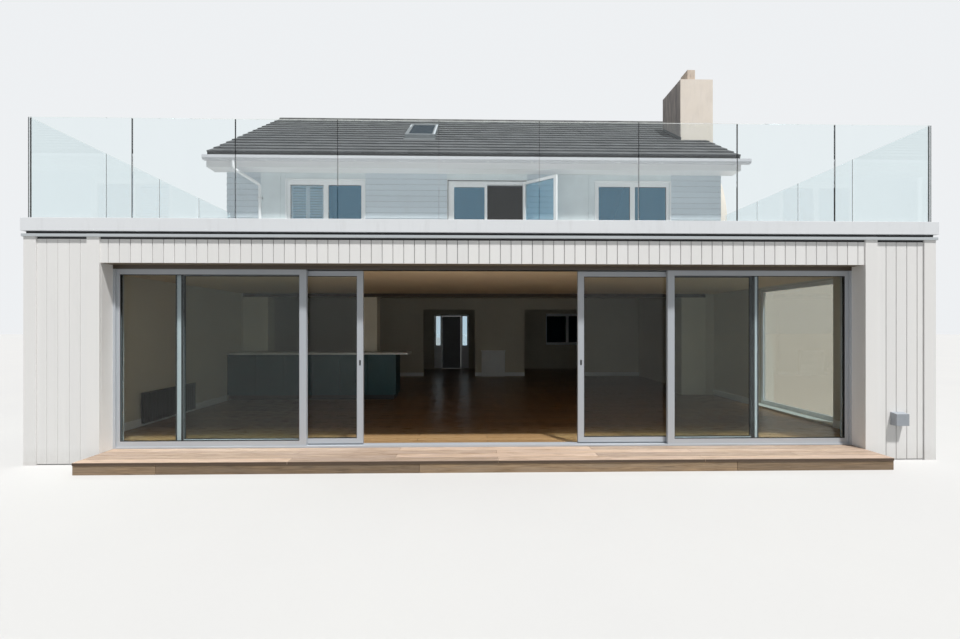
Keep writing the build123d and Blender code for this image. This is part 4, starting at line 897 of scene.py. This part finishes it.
def ridge():
    shape = Shape()
    count = round((VERGE_R - VERGE_L) / 0.45)
    length = (VERGE_R - VERGE_L) / count
    centre = (RIDGE_Y, RIDGE_Z - 0.042)
    for index in range(count):
        x0 = VERGE_L + index * length
        arc_tube(shape, x0 + 0.004, x0 + length - 0.004, centre, 0.110, 0.016, 98, 14)
    for x0 in (VERGE_L + 0.002, VERGE_R - 0.032):
        arc_tube(shape, x0, x0 + 0.03, centre, 0.098, 0.090, 80, 10, 0.9, 1)
    for index in range(1, count):
        x0 = VERGE_L + index * length
        arc_tube(shape, x0 - 0.012, x0 + 0.012, centre, 0.105, 0.012, 98, 14, 0.9, 1)
    piece = shape.build("ridge_row", "roof_tiles", [TILE, LEAD])
    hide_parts("ridge_tiles")


def flashings():
    """Lead round the roof window and the stack."""
    shape = Shape()
    side, lap, sheet = 0.06, 0.13, 0.004
    stack_l = STACK[1].x - 0.825
    low, high = [(y - EAVES_F) / math.cos(PITCH) for y in (6.020, 7.120)]
    for x0, x1, s0, s1, low0, low1, thick in (
            (LIGHT_L - side, LIGHT_R + side, LIGHT_LOW - 0.17, LIGHT_LOW, 0.026, 0.030, sheet),
            (LIGHT_L - side, LIGHT_R + side, LIGHT_HIGH, LIGHT_HIGH + 0.12, 0.020, 0.026, sheet),
            (LIGHT_L - side, LIGHT_L, LIGHT_LOW, LIGHT_HIGH, 0.028, 0.028, sheet),
            (LIGHT_R, LIGHT_R + side, LIGHT_LOW, LIGHT_HIGH, 0.028, 0.028, sheet),
            (stack_l - sheet, stack_l, low, high, 0.0, 0.0, 0.10),
            (stack_l - 0.10, VERGE_R - 0.01, low - lap, low, 0.026, 0.030, sheet),
            (stack_l - 0.10, VERGE_R - 0.01, high, high + lap, 0.024, 0.028, sheet)):
        slope_slab(shape, False, x0, x1, s0, s1, low0, low1, thick, 0.5)
    shape.build("lead_flashings", "roof_window_metal", [LEAD])


def roof_window_trim():
    """Pale side pieces of the roof window."""
    shape = Shape()
    for x0, x1, s0, s1 in ((LIGHT_R - 0.052, LIGHT_R - 0.012, LIGHT_LOW + 0.10, LIGHT_HIGH - 0.06),
                           (LIGHT_L + 0.012, LIGHT_L + 0.045, LIGHT_HIGH - 0.46, LIGHT_HIGH - 0.10)):
        slope_slab(shape, False, x0, x1, s0, s1, 0.110, 0.110, 0.003, 0.5)
    shape.build("roof_window_side_strips", "roof_window_metal", [ALLOY])


# Rainwater goods, seals and small parts

def brackets():
    shape = Shape()
    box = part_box("gutters")
    low, top = box[0].z, box[1].z
    for lip, out in ((box[0].y, -1), (box[1].y, 1)):
        x = VERGE_L + 0.35
        while x < VERGE_R:
            y0, y1 = sorted((lip, lip - out * 0.110))
            shape.block(x - 0.018, x + 0.018, y0 + 0.001, y1 - 0.001, low - 0.004, low)
            y0, y1 = sorted((lip - out * 0.001, lip - out * 0.020))
            shape.block(x - 0.018, x + 0.018, y0, y1, top - 0.002, top + 0.003)
            x += 0.95
    shape.build("gutter_brackets", "white_plastic", [BRACKET], 0.0015)
    clips = Shape()
    pipe_x = HOUSE_L + 0.733
    for z in (4.55, 3.55):
        clips.block(pipe_x - 0.060, pipe_x + 0.060, HOUSE_F - 0.012, HOUSE_F, z - 0.018, z + 0.018, 0.5)
        ring = [(pipe_x + 0.040 * math.cos(a), HOUSE_F - 0.0343 + 0.040 * math.sin(a), z - 0.018)
                for a in [math.pi / 8 * i for i in range(16)]]
        clips.prism(ring, (0, 0, 0.036), 0.5)
    clips.build("downpipe_clips", "white_plastic", [BRACKET])


def seal_ring(shape, place, a0, a1, z0, z1, near, far, width):
    """Dark seal round a pane, inside its frame."""
    for edges in ((a0, a1, z0, z0 + width), (a0, a1, z1 - width, z1),
                  (a0, a0 + width, z0 + width, z1 - width), (a1 - width, a1, z0 + width, z1 - width)):
        shape.panel(place, *edges, near, far)


def depth_place(a, y, z):
    return (a, y, z)


def leaf_seals():
    """Seals of the four glazed leaves, front and back, with the pulls of the sliding ones."""
    frame_side, overlap, rail = 0.032, 0.120, 0.065
    clear_l, clear_r = REC_L + frame_side, REC_R - frame_side
    width = (clear_r - clear_l + overlap - 0.006) / 4
    z0, z1 = FLOOR + 0.020, HEAD - 0.050
    fixed = Shape()
    for a0, a1 in ((clear_l + 0.042, clear_l + width - 0.089), (clear_r - width + 0.089, clear_r - 0.042)):
        for near, far in ((0.227, 0.232), (0.260, 0.265)):
            seal_ring(fixed, depth_place, a0, a1, z0 + rail, z1 - rail, near, far, 0.007)
    fixed.build("fixed_leaf_seals", "door_aluminium", [RUBBER])
    for body, name, side, outer, inner in (("left_door", "left_sliding_leaf", -1, 0.020, 0.030),
                                           ("right_door", "right_sliding_leaf", 1, 0.017, 0.049)):
        low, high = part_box(name)
        seals = Shape()
        if side < 0:
            glass_l, glass_r = low.x + 0.100, high.x - 0.078
            strips = ((low.x + 0.001, low.x + outer), (glass_l - inner, glass_l))
        else:
            glass_l, glass_r = low.x + 0.078, high.x - 0.100
            strips = ((high.x - outer, high.x - 0.001), (glass_r, glass_r + inner))
        for near, far in ((0.289, 0.294), (0.322, 0.327)):
            seal_ring(seals, depth_place, glass_l, glass_r, z0 + 0.014 + rail, z1 - 0.008 - rail, near, far, 0.007)
        for a0, a1 in strips:
            seals.block(a0, a1, 0.2806, 0.2824, low.z + 0.012, high.z - 0.012, 0.5)
        seals.build(name + "_seals", "door_aluminium", [RUBBER], body=body)
        middle = high.x - 0.039 if side < 0 else low.x + 0.039
        pull = Shape()
        pull.block(middle - 0.0068, middle + 0.0068, 0.2860, 0.2879, 1.1803, 1.2397, 0.5)
        seal_ring(pull, depth_place, middle - 0.011, middle + 0.011, 1.176, 1.244, 0.2806, 0.2820, 0.004)
        pull.build(body + "_pull", "door_aluminium", [RUBBER], 0.0004, body)


def window_seals():
    shape = Shape()
    frame, post, rail = 0.072, 0.108, 0.100
    for place, a0, a1, z0, z1 in FRONT_WINDOWS + REAR_WINDOWS:
        width = (a1 - a0 - 2 * frame - post) / 2
        for left in (a0 + frame, a1 - frame - width):
            seal_ring(shape, place, left, left + width, z0 + frame, z1 - rail, -0.038, -0.043, 0.006)
    shape.build("window_seals", "window_plastic", [RUBBER])


# Step, inside and terrace

def step():
    """Long boards with butt joints, a nosing and a boarded riser."""
    low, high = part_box("timber_step")
    boards, face = Shape(), Shape()
    rows = 4
    depth = high.y - low.y
    width = depth / rows
    for row in range(rows):
        y0 = low.y + row * width
        cuts = [low.x] + [low.x + 2.4 * i + (1.2 if row % 2 else 0.0) for i in range(1, 4)] + [high.x]
        for x0, x1 in zip(cuts, cuts[1:]):
            boards.block(x0 + 0.001, x1 - 0.001, y0 + (0.0 if row == 0 else 0.0025), y0 + width - 0.0025,
                         high.z - 0.032, high.z)
    cuts = [low.x, -3.79, -0.818, 2.863, high.x]
    for x0, x1 in zip(cuts, cuts[1:]):
        face.block(x0 + 0.002, x1 - 0.002, low.y + 0.008, low.y + 0.030, 0.0, high.z - 0.032)
    for x0 in (low.x, high.x - 0.022):
        face.block(x0, x0 + 0.022, low.y + 0.030, high.y, 0.0, high.z - 0.032)
    face.block(low.x + 0.022, high.x - 0.022, low.y + 0.030, high.y, 0.0, high.z - 0.040, 0.0)
    piece = boards.build("step_boards", "step_timber", [STEP], 0.0025)
    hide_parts("timber_step")
    face.build("step_riser", "step_timber", [STEP_FACE], 0.0015)


def kitchen_fronts():
    shape = Shape()
    low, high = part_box("kitchen_counter")
    end = high.x - 0.260
    count = 6
    width = (end - low.x) / count
    for index in range(count):
        x0 = low.x + index * width
        shape.block(x0 + 0.002, x0 + width - 0.002, low.y + 0.004, low.y + 0.020, FLOOR + 0.104, 1.085, 0.5)
    shape.build("kitchen_fronts", "kitchen_paint", [COUNTER], 0.0015)


def radiator():
    """Dark panel radiator on the left wall of the garden room."""
    shape = Shape()
    wall = EXT_L + 0.300
    y1, y2, z0, z1 = 1.565, 2.960, 0.185, 0.658
    ribs = 22
    pitch = (y2 - y1) / ribs
    for index in range(ribs):
        a0 = y1 + index * pitch
        shape.block(wall + 0.030, wall + 0.075, a0 + 0.004, a0 + pitch - 0.004, z0, z1 - 0.014, 0.5)
    shape.block(wall + 0.034, wall + 0.070, y1 + 0.004, y2 - 0.004, z0 + 0.01, z1 - 0.02, 0.5)
    shape.block(wall + 0.026, wall + 0.079, y1 - 0.004, y2 + 0.004, z1 - 0.014, z1, 0.5)
    for a0 in (y1 + 0.20, y2 - 0.23):
        shape.block(wall, wall + 0.034, a0, a0 + 0.03, z0 + 0.06, z1 - 0.06, 0.5)
    shape.build("wall_radiator", "interior_paint", [RADIATOR], 0.0030)


def wall_cover():
    """Low slatted cover on the wall between the two doorways of the hall."""
    shape = Shape()
    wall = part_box("hall_wall")[0].y
    x0, x1, z1 = 0.138, 0.864, 0.952
    shape.block(x0 - 0.02, x1 + 0.02, wall - 0.150, wall, z1 - 0.025, z1, 0.5)
    shape.block(x0, x1, wall - 0.126, wall - 0.116, FLOOR, z1 - 0.025, 0.5)
    for a0 in (x0, x1 - 0.05):
        shape.block(a0, a0 + 0.05, wall - 0.138, wall, FLOOR, z1 - 0.025, 0.5)
    for z0 in (FLOOR, z1 - 0.085):
        shape.block(x0 + 0.05, x1 - 0.05, wall - 0.138, wall - 0.126, z0, z0 + 0.06, 0.5)
    count = 14
    pitch = (x1 - x0 - 0.10) / count
    for index in range(count):
        a0 = x0 + 0.05 + index * pitch
        shape.block(a0 + 0.012, a0 + pitch - 0.012, wall - 0.136, wall - 0.126, FLOOR + 0.06, z1 - 0.085, 0.5)
    shape.build("wall_cover", "interior_paint", [SHUTTER], 0.0020)


def skirtings():
    shape = Shape()
    left, right = EXT_L + 0.300, EXT_R - 0.300
    shape.block(left, left + 0.015, FRONT_WALL, 4.22, FLOOR, FLOOR + 0.12, 0.5)
    shape.block(right - 0.015, right, 3.46, HOUSE_F, FLOOR, FLOOR + 0.12, 0.5)
    shape.block(right - 0.015, right, FRONT_WALL, 1.29, FLOOR, FLOOR + 0.12, 0.5)
    hall_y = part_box("hall_wall")[0].y
    for a0, a1 in ((INNER_L, -1.68), (-0.07, 1.49), (3.39, INNER_R)):
        shape.block(a0, a1, hall_y - 0.015, hall_y, FLOOR, FLOOR + 0.12, 0.5)
    shape.build("skirting_boards", "interior_paint", [SHUTTER], 0.0030)


def terrace_slabs():
    shape = Shape()
    x0, x1, y0, y1 = EXT_L + 0.302, EXT_R - 0.302, 0.302, HOUSE_F - 0.012
    across, deep = round((x1 - x0) / 0.6), round((y1 - y0) / 0.6)
    gap, thick = 0.003, 0.012
    for i in range(across):
        for j in range(deep):
            a0, b0 = x0 + (x1 - x0) * i / across, y0 + (y1 - y0) * j / deep
            shape.block(a0 + gap, a0 + (x1 - x0) / across - gap, b0 + gap, b0 + (y1 - y0) / deep - gap,
                        TERRACE, TERRACE + thick)
    shape.build("terrace_slabs", "flat_roof", [SLAB], 0.0020)


piers()
lintel()
side_cladding()
coping()
front_boards()
other_boards()
architraves()
for is_rear in (False, True):
    tiles(is_rear)
    butts(is_rear)
ridge()
flashings()
roof_window_trim()
brackets()
leaf_seals()
window_seals()
step()
kitchen_fronts()
radiator()
wall_cover()
skirtings()
terrace_slabs()


# Floor, light and camera

def studio():
    mesh = bpy.data.meshes.new("studio_floor")
    reach = 120.0
    mesh.from_pydata([(-reach, -reach, 0), (reach, -reach, 0), (reach, reach, 0), (-reach, reach, 0)], [],
                     [(0, 1, 2, 3)])
    mesh.materials.append(floor_material())
    add_object("studio_floor", mesh)

    sun = bpy.data.lights.new("key_light", "SUN")
    sun.energy = 3.8
    sun.angle = 0.06
    sun.color = (1.0, 0.985, 0.96)
    lamp = add_object("key_light", sun)
    lamp.rotation_mode = "QUATERNION"
    lamp.rotation_quaternion = Vector((0.61, -1.0, 2.5)).to_track_quat("Z", "Y")

    world = bpy.data.worlds.new("studio_world")
    bpy.context.scene.world = world
    sky = Nodes(world, "ShaderNodeOutputWorld")
    shades = []
    for colour, strength in (((0.93, 0.96, 1.0, 1), 0.34), ((0.92, 0.94, 0.96, 1), 0.93)):
        shade = sky.add("ShaderNodeBackground")
        shade.inputs["Color"].default_value = colour
        shade.inputs["Strength"].default_value = strength
        shades.append(shade)
    sky.done(sky.pick(sky.seen(), *shades))

    camera = bpy.data.cameras.new("camera")
    camera.sensor_width = 36.0
    camera.lens = 476.5 / 960 * 36.0
    camera.shift_y = 8.34 / 960
    holder = add_object("camera", camera)
    holder.location = (-0.247, -5.879, 1.66)
    holder.rotation_euler = (math.pi / 2, 0, -0.0224)
    bpy.context.scene.camera = holder
    bpy.context.scene.view_settings.view_transform = "Standard"


studio()
